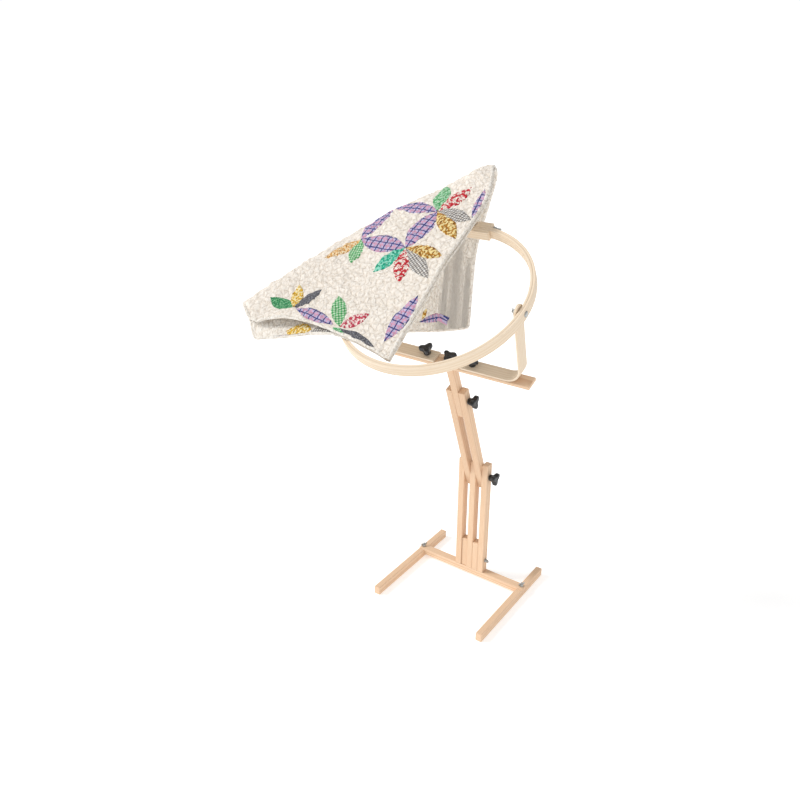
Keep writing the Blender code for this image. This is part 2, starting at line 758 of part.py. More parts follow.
def quilt_surface(columns, rows):
    """Points of the draped quilt's middle surface, rows of points from hem to bottom fold.

    The points are about the seat over the hoop's centre, and grow with the hoop. Across, each
    cage row is the parabola through its three points. Along, a Catmull-Rom spline runs
    through the cage rows, with its end rows mirrored outwards.
    """
    cage = (np.array(QUILT_CAGE) - QUILT_SEAT) * (HOOP_RADIUS / QUILT_HOOP_RADIUS)
    across = np.linspace(0, 1, columns)[:, None, None]
    right, middle, left = cage[:, 0], cage[:, 1], cage[:, 2]
    lines = (
        right * (1 - across) * (1 - 2 * across)
        + middle * 4 * across * (1 - across)
        + left * across * (2 * across - 1)
    )
    lines = np.concatenate(
        (2 * lines[:, :1] - lines[:, 1:2], lines, 2 * lines[:, -1:] - lines[:, -2:-1]), axis=1
    )
    spans = len(cage) - 1
    along = np.linspace(0, spans, rows)
    span = np.minimum(along.astype(int), spans - 1)
    t = (along - span)[None, :, None]
    before, start, end, after = (lines[:, span + i] for i in range(4))
    return 0.5 * (
        2 * start
        + (end - before) * t
        + (2 * before - 5 * start + 4 * end - after) * t**2
        + (3 * start - before - 3 * end + after) * t**3
    )


def build_quilt(hoop):
    """The quilt, folded in half and draped over the hoop as a tent with a slanting ridge."""
    points = quilt_surface(QUILT_COLUMNS, QUILT_ROWS)
    bm = bmesh.new()
    grid = [[bm.verts.new(point) for point in column] for column in points]
    for column, following in zip(grid, grid[1:]):
        for i in range(len(column) - 1):
            bm.faces.new((column[i], column[i + 1], following[i + 1], following[i]))
    mesh = mesh_from(bm, "quilt")
    turn = hoop.matrix_world.to_3x3()
    level = turn.inverted().to_4x4()
    seat = turn @ Vector((0, 0, (HOOP_HEIGHT + QUILT_THICKNESS) / 2))
    quilt = add_object("quilt", mesh, hoop, seat, UPRIGHT, quilt_cotton, PARTS)
    quilt.matrix_parent_inverse = level
    solidify = quilt.modifiers.new("batting", "SOLIDIFY")
    solidify.thickness = QUILT_THICKNESS
    solidify.offset = 0.0
    return quilt


def quilt_cotton(name):
    """Off-white quilted cotton."""
    return material(name, (0.73, 0.69, 0.63), 0.90)


def centre_on_footprint():
    """Moves the stand so that the middle of its bounding box is over the origin."""
    bpy.context.view_layer.update()
    depsgraph = bpy.context.evaluated_depsgraph_get()
    corners = []
    for obj in PARTS.objects:
        if obj.type == "MESH":
            seen = obj.evaluated_get(depsgraph)
            corners += [seen.matrix_world @ Vector(corner) for corner in seen.bound_box]
    corners = np.array(corners)
    middle = (corners.min(axis=0) + corners.max(axis=0)) / 2
    STAND.location = (-middle[0], -middle[1], 0)


def main():
    """Builds the stand from the floor up, hangs the quilt on it and centres the whole."""
    crossbar = build_base()
    pivot_z = build_post(crossbar)
    lower_pivot = build_lower_arms(pivot_z)
    upper_pivot = build_upper_arm(lower_pivot)
    head = build_head(upper_pivot)
    hoop = build_hoop(head)
    bpy.context.view_layer.update()
    build_quilt(hoop)
    centre_on_footprint()


main()
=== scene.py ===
"""Looks of a folded patchwork quilt draped over a hardwood quilting-hoop floor stand.

Every piece is a surface of two parameters worked out with numpy in metres, in the same
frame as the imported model. +X runs along the crossbar, +Y points away from the sitter and
+Z is up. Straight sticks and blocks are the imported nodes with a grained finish. Hoops,
brackets, knobs, nuts and bolts are replaced by finer surfaces of the same sizes.
"""

import json
import logging
from dataclasses import dataclass, field
from enum import Enum
from math import cos, pi, radians, sin
from typing import Optional

import bmesh
import bpy
import numpy as np
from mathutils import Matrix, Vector


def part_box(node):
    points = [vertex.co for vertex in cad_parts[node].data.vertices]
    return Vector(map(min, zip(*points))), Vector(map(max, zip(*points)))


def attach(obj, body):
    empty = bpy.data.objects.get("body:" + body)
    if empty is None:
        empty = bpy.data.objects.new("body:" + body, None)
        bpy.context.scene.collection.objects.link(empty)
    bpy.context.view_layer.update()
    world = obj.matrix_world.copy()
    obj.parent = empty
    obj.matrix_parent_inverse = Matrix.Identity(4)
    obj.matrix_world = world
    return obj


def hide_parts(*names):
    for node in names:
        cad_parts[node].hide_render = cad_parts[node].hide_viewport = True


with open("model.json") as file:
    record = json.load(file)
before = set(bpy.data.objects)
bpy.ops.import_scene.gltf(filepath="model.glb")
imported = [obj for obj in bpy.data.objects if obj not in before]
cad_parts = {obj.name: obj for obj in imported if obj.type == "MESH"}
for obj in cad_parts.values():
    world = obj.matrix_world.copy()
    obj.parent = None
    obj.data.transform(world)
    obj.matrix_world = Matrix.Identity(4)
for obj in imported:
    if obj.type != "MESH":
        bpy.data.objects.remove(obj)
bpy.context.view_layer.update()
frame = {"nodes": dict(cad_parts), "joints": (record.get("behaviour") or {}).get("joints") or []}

LOG = logging.getLogger("quilt_on_stand")
JOINTS = {joint["name"]: joint for joint in frame["joints"]}
Array = np.ndarray

GAP = 0.0003
LAYER = 0.01905
PITCH = LAYER + GAP
POST_HALF = 2 * PITCH + LAYER / 2


# ---------------------------------------------------------------- colour and nodes


def linear(colour: str) -> tuple[float, float, float, float]:
    """Turns an sRGB hex colour into linear red, green, blue and alpha.

    Args:
        colour: Six hex digits with a leading #.

    Returns:
        The linear colour with full alpha.
    """
    parts = [int(colour[i : i + 2], 16) / 255 for i in (1, 3, 5)]
    made = [p / 12.92 if p <= 0.04045 else ((p + 0.055) / 1.055) ** 2.4 for p in parts]
    return (made[0], made[1], made[2], 1.0)


def add_node(
    tree: bpy.types.NodeTree,
    kind: str,
    settings: Optional[dict] = None,
    inputs: Optional[dict] = None,
) -> bpy.types.Node:
    """Adds a node with its settings, its fixed input values and its links.

    Args:
        tree: The node tree.
        kind: The node's type name.
        settings: Attributes to set on the node.
        inputs: Input values, or output sockets to link, by name or index.

    Returns:
        The new node.
    """
    node = tree.nodes.new(kind)
    for key, value in (settings or {}).items():
        setattr(node, key, value)
    for key, value in (inputs or {}).items():
        socket = node.inputs[key]
        if isinstance(value, bpy.types.NodeSocket):
            tree.links.new(value, socket)
        else:
            socket.default_value = value
    return node


def ramp(
    tree: bpy.types.NodeTree, factor: bpy.types.NodeSocket, stops: list[tuple[float, str]]
) -> bpy.types.NodeSocket:
    """Adds a colour ramp through stops of (position, hex colour).

    Args:
        tree: The node tree.
        factor: The socket that drives the ramp.
        stops: Rising positions with their colours.

    Returns:
        The ramp's colour output.
    """
    node = add_node(tree, "ShaderNodeValToRGB", inputs={"Fac": factor})
    elements = node.color_ramp.elements
    while len(elements) < len(stops):
        elements.new(0.5)
    for element, (position, colour) in zip(elements, stops):
        element.position = position
        element.color = linear(colour)
    return node.outputs["Color"]


def maths(tree: bpy.types.NodeTree, operation: str, *values) -> bpy.types.NodeSocket:
    """Adds a Math node of this operation and returns its output."""
    inputs = dict(enumerate(values))
    settings = {"operation": operation}
    return add_node(tree, "ShaderNodeMath", settings, inputs).outputs[0]


def blend_colours(
    tree: bpy.types.NodeTree,
    factor: bpy.types.NodeSocket | float,
    first: bpy.types.NodeSocket | str,
    second: bpy.types.NodeSocket | str,
    mode: str = "MIX",
) -> bpy.types.NodeSocket:
    """Mixes two colours, each a socket or a hex value.

    Args:
        tree: The node tree.
        factor: The share of the second colour.
        first: The colour at 0.
        second: The colour at 1.
        mode: The mix node's blend type.

    Returns:
        The mixed colour.
    """
    node = add_node(tree, "ShaderNodeMix", {"data_type": "RGBA", "blend_type": mode})
    for index, value in ((0, factor), (6, first), (7, second)):
        if isinstance(value, bpy.types.NodeSocket):
            tree.links.new(value, node.inputs[index])
        else:
            node.inputs[index].default_value = linear(value) if index else value
    return node.outputs[2]


@dataclass(frozen=True)
class Finish:
    """A material's name and the shader values that are the same all over it."""

    name: str
    roughness: float
    metallic: float = 0.0
    sheen: float = 0.0
    specular: float = 0.5

    def shader(self) -> tuple[bpy.types.Material, bpy.types.NodeTree, bpy.types.Node]:
        """Makes the material and sets its uniform values on the shader's own sockets.

        Returns:
            The material, its node tree and its Principled shader.
        """
        material = bpy.data.materials.new(self.name)
        material.use_nodes = True
        tree = material.node_tree
        shader = tree.nodes["Principled BSDF"]
        shader.inputs["Roughness"].default_value = self.roughness
        shader.inputs["Metallic"].default_value = self.metallic
        shader.inputs["Sheen Weight"].default_value = self.sheen
        shader.inputs["Sheen Roughness"].default_value = 0.5
        shader.inputs["Specular IOR Level"].default_value = self.specular
        return material, tree, shader


def add_bump(
    tree: bpy.types.NodeTree,
    shader: bpy.types.Node,
    height: bpy.types.NodeSocket,
    depth: float,
    strength: float = 1.0,
) -> None:
    """Turns a height of 0 to 1 into relief of this depth in metres on the shader."""
    values = {"Height": height, "Distance": depth, "Strength": strength}
    bump = add_node(tree, "ShaderNodeBump", inputs=values)
    tree.links.new(bump.outputs["Normal"], shader.inputs["Normal"])


@dataclass(frozen=True)
class Wood(Finish):
    """Pale sanded hardwood, unfinished. Growth rings show as faint lines along the grain."""

    light: str = "#EBD0B4"
    dark: str = "#D5AE8A"
    ring_pitch: float = 0.0042
    fibre_pitch: float = 0.0011

    def build(self, grain: Vector, seed: float) -> bpy.types.Material:
        """Makes the finish for a stick whose grain runs along one direction.

        Args:
            grain: The grain's direction in object space.
            seed: Moves the pattern, so that no two sticks match.

        Returns:
            The material, on Object coordinates.
        """
        material, tree, shader = self.shader()
        coordinates = add_node(tree, "ShaderNodeTexCoord")
        turn = grain.rotation_difference(Vector((0, 0, 1))).to_euler("XYZ")
        values = {
            "Vector": coordinates.outputs["Object"],
            "Rotation": turn,
            "Location": (0.05 + 0.37 * seed, 0.11 * seed, 0.7 * seed),
        }
        turned_grain = add_node(tree, "ShaderNodeMapping", inputs=values)
        self.dress(tree, shader, turned_grain.outputs["Vector"])
        return material

    def build_bent(self) -> bpy.types.Material:
        """Makes the finish for a bent strip, whose map runs along and across it in metres."""
        material, tree, shader = self.shader()
        strip = add_node(tree, "ShaderNodeUVMap", {"uv_map": "grain"})
        values = {"Vector": strip.outputs["UV"], "Rotation": (0, -pi / 2, 0)}
        values["Location"] = (0.03, 0.02, 0.0)
        turned_grain = add_node(tree, "ShaderNodeMapping", inputs=values)
        self.dress(tree, shader, turned_grain.outputs["Vector"])
        return material

    def dress(
        self, tree: bpy.types.NodeTree, shader: bpy.types.Node, along_z: bpy.types.NodeSocket
    ) -> None:
        """Adds rings, fibre and pores on coordinates whose Z runs along the grain."""
        slow = add_node(
            tree, "ShaderNodeMapping", inputs={"Vector": along_z, "Scale": (1, 1, 0.06)}
        ).outputs["Vector"]
        wander = add_node(
            tree, "ShaderNodeTexNoise", inputs={"Vector": slow, "Scale": 28.0, "Detail": 2.0}
        )
        rings = add_node(
            tree,
            "ShaderNodeTexWave",
            {"wave_type": "RINGS", "rings_direction": "Z", "wave_profile": "SAW"},
            {
                "Vector": slow,
                "Scale": 0.314 / self.ring_pitch,
                "Distortion": 2.2,
                "Detail": 2.0,
                "Detail Scale": 0.6,
            },
        )
        thin = add_node(
            tree, "ShaderNodeMapping", inputs={"Vector": along_z, "Scale": (1, 1, 0.03)}
        ).outputs["Vector"]
        fibre = add_node(
            tree,
            "ShaderNodeTexNoise",
            inputs={"Vector": thin, "Scale": 1 / self.fibre_pitch, "Detail": 3.0},
        ).outputs["Fac"]
        ring_share = maths(tree, "MULTIPLY", rings.outputs["Fac"], 0.45)
        fibre_share = maths(tree, "MULTIPLY", fibre, 0.5)
        wander_share = maths(tree, "MULTIPLY", wander.outputs["Fac"], 0.35)
        tone = maths(tree, "ADD", maths(tree, "ADD", ring_share, fibre_share), wander_share)
        colour = ramp(tree, tone, [(0.3, self.light), (0.95, self.dark)])
        tree.links.new(colour, shader.inputs["Base Color"])
        add_bump(tree, shader, fibre, 0.00012, 0.6)


@dataclass(frozen=True)
class ZincPlate(Finish):
    """Zinc-plated steel. The plating gives a grey metal with soft, slightly cloudy gloss."""

    colour: str = "#B9BAB8"

    def build(self) -> bpy.types.Material:
        """Makes the finish."""
        material, tree, shader = self.shader()
        place = add_node(tree, "ShaderNodeTexCoord").outputs["Object"]
        cloud = add_node(
            tree, "ShaderNodeTexNoise", inputs={"Vector": place, "Scale": 260.0, "Detail": 3.0}
        ).outputs["Fac"]
        colour = ramp(tree, cloud, [(0.3, "#9C9D9B"), (0.7, self.colour)])
        tree.links.new(colour, shader.inputs["Base Color"])
        gloss = maths(tree, "MULTIPLY_ADD", cloud, 0.25, self.roughness - 0.12)
        tree.links.new(gloss, shader.inputs["Roughness"])
        add_bump(tree, shader, cloud, 0.00008, 0.5)
        return material


@dataclass(frozen=True)
class MouldedPlastic(Finish):
    """Moulded black nylon. A fine spark-eroded grain scatters its gloss."""

    colour: str = "#17171A"

    def build(self) -> bpy.types.Material:
        """Makes the finish."""
        material, tree, shader = self.shader()
        place = add_node(tree, "ShaderNodeTexCoord").outputs["Object"]
        # Real moulded grain is about 0.1 mm, drawn here at 0.6 mm so that it shows
        grit = add_node(
            tree, "ShaderNodeTexNoise", inputs={"Vector": place, "Scale": 1600.0, "Detail": 2.0}
        ).outputs["Fac"]
        colour = ramp(tree, grit, [(0.3, "#0F0F11"), (0.8, "#222226")])
        tree.links.new(colour, shader.inputs["Base Color"])
        add_bump(tree, shader, grit, 0.0001, 0.7)
        return material


class Motif(Enum):
    """What is printed or woven on a patch."""

    PLAID = "plaid"
    CHECK = "check"
    FLORAL = "floral"
    SPECKLE = "speckle"
    PLAIN = "plain"


@dataclass(frozen=True)
class Cotton(Finish):
    """Washed quilting cotton, a plain weave with a soft nap and no gloss.

    Patterns run on the cloth's own map in metres, so they bend with the drape.
    """

    ground: str = "#E3DDD4"
    first: str = "#E3DDD4"
    second: str = "#E3DDD4"
    motif: Motif = Motif.PLAIN
    pitch: float = 0.006

    def stripe(
        self, tree: bpy.types.NodeTree, along: bpy.types.NodeSocket, pitch: float,
        width: float, start: float = 0.0,
    ) -> bpy.types.NodeSocket:
        """Returns 1 inside a stripe that repeats every pitch, and 0 between."""
        turns = maths(tree, "MULTIPLY_ADD", along, 1 / pitch, start)
        return maths(tree, "LESS_THAN", maths(tree, "FRACT", turns), width)

    def spots(
        self, tree: bpy.types.NodeTree, cloth: bpy.types.NodeSocket, size: float, start: float,
        edge: float,
    ) -> bpy.types.NodeSocket:
        """Returns 1 on blots scattered about every size metres, and 0 between."""
        moved = add_node(
            tree, "ShaderNodeMapping", inputs={"Vector": cloth, "Location": (start, start, 0)}
        ).outputs["Vector"]
        blots = add_node(
            tree,
            "ShaderNodeTexNoise",
            {"noise_dimensions": "2D"},
            {"Vector": moved, "Scale": 1 / size, "Detail": 1.0, "Roughness": 0.4},
        ).outputs["Fac"]
        return maths(tree, "GREATER_THAN", blots, edge)

    def colour(
        self, tree: bpy.types.NodeTree, cloth: bpy.types.NodeSocket
    ) -> bpy.types.NodeSocket:
        """Returns the printed or woven colour on this cloth map."""
        parts = add_node(tree, "ShaderNodeSeparateXYZ", inputs={"Vector": cloth})
        across, along = parts.outputs["X"], parts.outputs["Y"]
        p = self.pitch
        if self.motif is Motif.PLAID:
            wide = maths(
                tree, "MAXIMUM", self.stripe(tree, across, p, 0.17), self.stripe(tree, along, p, 0.17)
            )
            fine = maths(
                tree,
                "MAXIMUM",
                self.stripe(tree, across, p, 0.22, 0.52),
                self.stripe(tree, along, p, 0.22, 0.52),
            )
            tinted = blend_colours(tree, fine, self.ground, self.second)
            return blend_colours(tree, wide, tinted, self.first)
        if self.motif is Motif.CHECK:
            both = maths(
                tree, "ADD", self.stripe(tree, across, p, 0.5), self.stripe(tree, along, p, 0.5)
            )
            return ramp(
                tree,
                maths(tree, "MULTIPLY", both, 0.5),
                [(0.0, self.ground), (0.5, self.second), (1.0, self.first)],
            )
        if self.motif is Motif.FLORAL:
            flowers = self.spots(tree, cloth, p, 0.0, 0.51)
            leaves = self.spots(tree, cloth, p * 0.8, 0.3, 0.6)
            leafy = blend_colours(tree, leaves, self.ground, self.second)
            return blend_colours(tree, flowers, leafy, self.first)
        if self.motif is Motif.SPECKLE:
            specks = self.spots(tree, cloth, p * 0.6, 0.7, 0.58)
            return blend_colours(tree, specks, self.ground, self.first)
        faded = add_node(
            tree,
            "ShaderNodeTexNoise",
            {"noise_dimensions": "2D"},
            {"Vector": cloth, "Scale": 18.0, "Detail": 3.0},
        ).outputs["Fac"]
        return ramp(tree, faded, [(0.3, self.first), (0.7, self.ground)])

    def build(self) -> bpy.types.Material:
        """Makes the finish on the cloth's own map."""
        material, tree, shader = self.shader()
        cloth = add_node(tree, "ShaderNodeUVMap", {"uv_map": "cloth"}).outputs["UV"]
        # Threads are 0.4 mm apart in real cotton, drawn at 1 mm so that the weave shows
        weave = [
            add_node(
                tree,
                "ShaderNodeTexWave",
                {"wave_type": "BANDS", "bands_direction": axis},
                {"Vector": cloth, "Scale": 0.314 / 0.001, "Distortion": 0.4},
            ).outputs["Fac"]
            for axis in ("X", "Y")
        ]
        threads = maths(tree, "MULTIPLY", maths(tree, "ADD", *weave), 0.5)
        # Washing shrinks the batting and leaves puckers about 7 mm apart
        puckers = add_node(
            tree,
            "ShaderNodeTexNoise",
            {"noise_dimensions": "2D"},
            {"Vector": cloth, "Scale": 1 / 0.007, "Detail": 3.0, "Distortion": 0.6},
        ).outputs["Fac"]
        # Stitching parts the puckers into crooked cells about 15 mm across
        wobble = add_node(
            tree,
            "ShaderNodeTexNoise",
            {"noise_dimensions": "2D"},
            {"Vector": cloth, "Scale": 70.0, "Detail": 2.0},
        ).outputs["Color"]
        crooked = add_node(
            tree,
            "ShaderNodeVectorMath",
            {"operation": "MULTIPLY_ADD"},
            {0: wobble, 1: (0.016, 0.016, 0.0), 2: cloth},
        ).outputs["Vector"]
        seam = add_node(
            tree,
            "ShaderNodeTexVoronoi",
            {"feature": "DISTANCE_TO_EDGE", "voronoi_dimensions": "2D"},
            {"Vector": crooked, "Scale": 1 / 0.015},
        ).outputs["Distance"]
        pillow = maths(tree, "MINIMUM", maths(tree, "MULTIPLY", seam, 4.0), 1.0)
        puffed = maths(tree, "MULTIPLY_ADD", pillow, 0.36, maths(tree, "MULTIPLY", puckers, 0.9))
        # Painted shade: the pucker valleys and stitched seams are darkened in the colour, and the
        # print is multiplied by this shade
        painted_valley_shade = ramp(tree, puffed, [(0.30, "#D6CEC4"), (0.60, "#F8F4EF"), (0.85, "#FFFFFF")])
        print_with_painted_shade = blend_colours(tree, 0.8, self.colour(tree, cloth), painted_valley_shade, "MULTIPLY")
        tree.links.new(print_with_painted_shade, shader.inputs["Base Color"])
        relief = maths(tree, "MULTIPLY_ADD", threads, 0.06, puffed)
        add_bump(tree, shader, relief, 0.006, 0.8)
        return material


STICK_WOOD = Wood("sanded_hardwood", 0.62, specular=0.3)
BENT_WOOD = Wood(
    "steam_bent_hardwood", 0.5, specular=0.35, light="#EADBC7", dark="#D8C1A3", ring_pitch=0.006
)
ZINC = ZincPlate("zinc_plated_steel", 0.36, metallic=1.0)
PLASTIC = MouldedPlastic("moulded_black_nylon", 0.42)
WHITE_COTTON = Cotton(
    "washed_white_cotton", 0.92, sheen=0.2, specular=0.15, ground="#F8F1E8", first="#F3EBE1"
)
BACKING_COTTON = Cotton(
    "backing_cotton", 0.92, sheen=0.2, specular=0.15, ground="#F7F2EA", first="#EFE9E0"
)
BINDING_COTTON = Cotton(
    "binding_cotton", 0.92, sheen=0.2, specular=0.15, ground="#F5F1EA", first="#EDE7DE"
)


def print_cloth(
    name: str, ground: str, first: str, second: str, motif: Motif, pitch: float
) -> Cotton:
    """Returns a patch print with these colours, motif and repeat in metres."""
    return Cotton(
        f"{name}_print", 0.9, sheen=0.15, specular=0.15,
        ground=ground, first=first, second=second, motif=motif, pitch=pitch,
    )


class Print(Enum):
    """The reproduction prints that the patches are cut from."""

    PLAID = print_cloth("plaid", "#C2BADC", "#3A4384", "#D5A0BE", Motif.PLAID, 0.020)
    GOLD = print_cloth("gold_floral", "#B87F1E", "#F0DC9C", "#7E4E12", Motif.FLORAL, 0.007)
    GREY_CHECK = print_cloth("grey_check", "#F0EEEA", "#6E6B6A", "#A9A5A2", Motif.CHECK, 0.0068)
    RED = print_cloth("red_floral", "#F1E9E0", "#C3202F", "#D23F50", Motif.FLORAL, 0.008)
    TEAL = print_cloth("teal_floral", "#21B08F", "#8FDCC6", "#178A70", Motif.FLORAL, 0.008)
    GREEN_CHECK = print_cloth("green_gingham", "#D3EAD0", "#3B9A52", "#7CC088", Motif.CHECK, 0.0075)
    YELLOW = print_cloth("yellow_speckle", "#E3B530", "#F7E8B4", "#B5861F", Motif.FLORAL, 0.007)
    SLATE = print_cloth("slate_speckle", "#56575F", "#8C8D94", "#3C3D44", Motif.SPECKLE, 0.005)
    GREEN = print_cloth("green_leaf", "#2E8B57", "#8CCB9B", "#1F6B41", Motif.SPECKLE, 0.006)
    PINK = print_cloth("pink_floral", "#F3E2DE", "#C43F55", "#DB8590", Motif.FLORAL, 0.007)
    ORANGE = print_cloth("orange_dot", "#DFA95E", "#F5E3BE", "#A8671F", Motif.FLORAL, 0.005)
    MAROON = print_cloth("maroon_floral", "#8E2436", "#D98A94", "#5E1624", Motif.FLORAL, 0.006)
    MINT = print_cloth("mint_floral", "#B4DDBC", "#4CA666", "#82C692", Motif.FLORAL, 0.006)


# ---------------------------------------------------------------- placing and meshing


class Turn(Enum):
    """Which way a piece's own Z points in its home frame."""

    UP = ((1, 0, 0), (0, 1, 0), (0, 0, 1))
    ALONG_X = ((0, 0, 1), (0, 1, 0), (-1, 0, 0))
    AGAINST_X = ((0, 0, -1), (0, 1, 0), (1, 0, 0))


@dataclass(frozen=True)
class Home:
    """A frame with an origin that is tipped forwards about +X."""

    origin: tuple[float, float, float]
    tilt: float = 0.0

    def place(
        self,
        points: Array,
        at: tuple[float, float, float] = (0, 0, 0),
        turn: Turn = Turn.UP,
        spin: float = 0.0,
    ) -> Array:
        """Moves local points into the stand's frame.

        Args:
            points: Any array whose last side is x, y and z.
            at: The piece's own origin in this home.
            turn: Which way its Z points.
            spin: Turns it about its own Z first.

        Returns:
            The points as spin, turn, shift, tilt about +X, then shift to the origin.
        """
        spun = np.array(((cos(spin), -sin(spin), 0), (sin(spin), cos(spin), 0), (0, 0, 1)))
        c, s = cos(self.tilt), sin(self.tilt)
        tipped = np.array(((1, 0, 0), (0, c, -s), (0, s, c)))
        local = points @ spun.T @ np.array(turn.value, float).T + np.array(at)
        return local @ tipped.T + np.array(self.origin)


def joint_place(name: str) -> tuple[tuple[float, float, float], Vector]:
    """Returns a joint's position and axis."""
    joint = JOINTS[name]
    return tuple(joint["pos_m"]), Vector(joint["axis"])


POST_LOW, POST_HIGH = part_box("middle_upright")
POST = ((POST_LOW.x + POST_HIGH.x) / 2, (POST_LOW.y + POST_HIGH.y) / 2)
LOWER_TILT = 0.3616
HEAD_TILT = LOWER_TILT + 0.0287
STAND_HOME = Home((POST[0], POST[1], 0.0))
LOWER_HOME = Home(joint_place("lower_arm_tilt")[0], LOWER_TILT)
UPPER_HOME = Home(joint_place("upper_arm_tilt")[0], HEAD_TILT)
HEAD_HOME = Home(
    tuple(UPPER_HOME.place(np.array((0, 0, 0.1250)))), HEAD_TILT
)
HOOP_HOME = Home(joint_place("hoop_tilt")[0], HEAD_TILT + 0.1209)


@dataclass
class Shell:
    """Grids of points that are stitched into one mesh, each with its own map."""

    points: list[Array] = field(default_factory=list)
    faces: list[Array] = field(default_factory=list)
    maps: list[Array] = field(default_factory=list)
    count: int = 0

    def add(
        self, grid: Array, closed: bool = False, map_points: Optional[Array] = None
    ) -> "Shell":
        """Adds one grid, whose faces join each point to its neighbours.

        Args:
            grid: Points by row and column.
            closed: Whether the last row joins the first.
            map_points: Map coordinates by row and column, with one row more if closed.

        Returns:
            This shell.
        """
        rows, columns = grid.shape[:2]
        r = np.arange(rows if closed else rows - 1)[:, None]
        c = np.arange(columns - 1)[None, :]
        after = (r + 1) % rows
        corners = [r * columns + c, after * columns + c, after * columns + c + 1, r * columns + c + 1]
        self.faces.append(np.stack(corners, -1).reshape(-1, 4) + self.count)
        if map_points is None:
            map_points = np.zeros((rows + closed, columns, 2))
        m = [(r, c), (r + 1, c), (r + 1, c + 1), (r, c + 1)]
        self.maps.append(
            np.stack([map_points[i + 0 * j, j + 0 * i] for i, j in m], 2).reshape(-1, 2)
        )
        self.points.append(grid.reshape(-1, 3))
        self.count += rows * columns
        return self

    def build(
        self, name: str, map_name: str = "grain", smooth_angle: float = 40.0,
        recalculate: bool = True, merge: float = 1e-6,
    ) -> bpy.types.Object:
        """Makes the object, with doubles merged and faces turned outwards.

        Args:
            name: The piece's name.
            map_name: The name of its map.
            smooth_angle: Edges sharper than this many degrees stay sharp.
            recalculate: Whether the normals are worked out again.
            merge: Points closer than this are made one.

        Returns:
            The object, at the origin, with its place in its mesh.
        """
        mesh = bpy.data.meshes.new(name)
        mesh.from_pydata(np.concatenate(self.points).tolist(), [], np.concatenate(self.faces).tolist())
        layer = mesh.uv_layers.new(name=map_name)
        layer.data.foreach_set("uv", np.concatenate(self.maps).astype(np.float32).ravel())
        bm = bmesh.new()
        bm.from_mesh(mesh)
        bmesh.ops.remove_doubles(bm, verts=bm.verts, dist=merge)
        bmesh.ops.dissolve_degenerate(bm, edges=bm.edges, dist=merge)
        if recalculate:
            bmesh.ops.recalc_face_normals(bm, faces=bm.faces)
        bm.to_mesh(mesh)
        bm.free()
        mesh.shade_smooth()
        obj = bpy.data.objects.new(name, mesh)
        bpy.context.scene.collection.objects.link(obj)
        mesh.set_sharp_from_angle(angle=radians(smooth_angle))
        return obj


def turned_grid(radius: Array, height: Array, steps: int) -> Array:
    """Carries a profile of radii and heights round Z: x = r cos t, y = r sin t, z = h."""
    angle = np.linspace(0, 2 * pi, steps, endpoint=False)[:, None]
    radius, height = np.broadcast_to(radius, (steps, radius.shape[-1])), np.broadcast_to(
        height, (steps, height.shape[-1])
    )
    return np.stack((radius * np.cos(angle), radius * np.sin(angle), height), -1)


def settle(
    obj: bpy.types.Object,
    finish: bpy.types.Material,
    body: str,
    slot: str,
    *nodes: str,
) -> bpy.types.Object:
    """Gives a finished piece its material and body, and hides the nodes that it stands for.

    Args:
        obj: The piece.
        finish: Its material.
        body: The body that it rides on.
        slot: The record's material slot; not used.
        nodes: The nodes that it replaces.

    Returns:
        The piece.
    """
    obj.data.materials.clear()
    obj.data.materials.append(finish)
    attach(obj, body)
    if nodes:
        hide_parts(*nodes)
    LOG.info("%s rides on %s with %d faces", obj.name, body, len(obj.data.polygons))
    return obj


# ---------------------------------------------------------------- wooden frame


@dataclass
class StickFrame:
    """The straight sticks and blocks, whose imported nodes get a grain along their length."""

    lean: float = HEAD_TILT
    along_x: tuple[str, ...] = ("crossbar", "support_board")
    along_y: tuple[str, ...] = ("left_foot", "right_foot")
    along_z: tuple[str, ...] = (
        "left_upright", "middle_upright", "right_upright", "left_spacer", "right_spacer",
    )
    blocks: tuple[str, ...] = ("left_clamp_block", "right_clamp_block", "inner_hoop_block")

    def grains(self) -> dict[str, Vector]:
        """Returns the grain direction of every stick and block by name."""
        grains = {name: Vector((1, 0, 0)) for name in self.along_x + self.blocks}
        grains |= {name: Vector((0, 1, 0)) for name in self.along_y}
        grains |= {name: Vector((0, 0, 1)) for name in self.along_z}
        for name in ("left_lower_arm", "right_lower_arm"):
            grains[name] = Vector((0, -sin(LOWER_TILT), cos(LOWER_TILT)))
        grains["upper_arm"] = Vector((0, -sin(self.lean), cos(self.lean)))
        return grains

    def dress(self) -> None:
        """Puts a grained finish on each stick's material slots."""
        for i, (name, grain) in enumerate(sorted(self.grains().items())):
            finish = BENT_WOOD if name in self.blocks else STICK_WOOD
            made = finish.build(grain, 0.13 + 0.29 * i)
            node = frame["nodes"][name]
            for index in range(len(node.material_slots)):
                node.material_slots[index].material = made
            LOG.info("%s is dressed with %s", name, made.name)


# ---------------------------------------------------------------- bent strips


def rounded_strip(width: Array, thickness: float, edge: float, corners: int = 5) -> Array:
    """Outlines of a strip's cross-section, a rectangle whose corners are quarter circles.

    Args:
        width: Full widths along the strip.
        thickness: The strip's thickness.
        edge: The corner radius.
        corners: Points on each quarter circle.

    Returns:
        Points (across the width, through the thickness) by station and outline point.
    """
    quarter = np.linspace(0, pi / 2, corners)
    angle = np.concatenate([quarter + k * pi / 2 for k in range(4)])
    side = np.array((1, -1, -1, 1)).repeat(corners)
    level = np.array((1, 1, -1, -1)).repeat(corners)
    half = np.maximum(width[:, None] / 2 - edge, 0.0)
    across = side * half + edge * np.cos(angle)
    through = level * (thickness / 2 - edge) + edge * np.sin(angle)
    return np.stack((across, np.broadcast_to(through, across.shape)), -1)


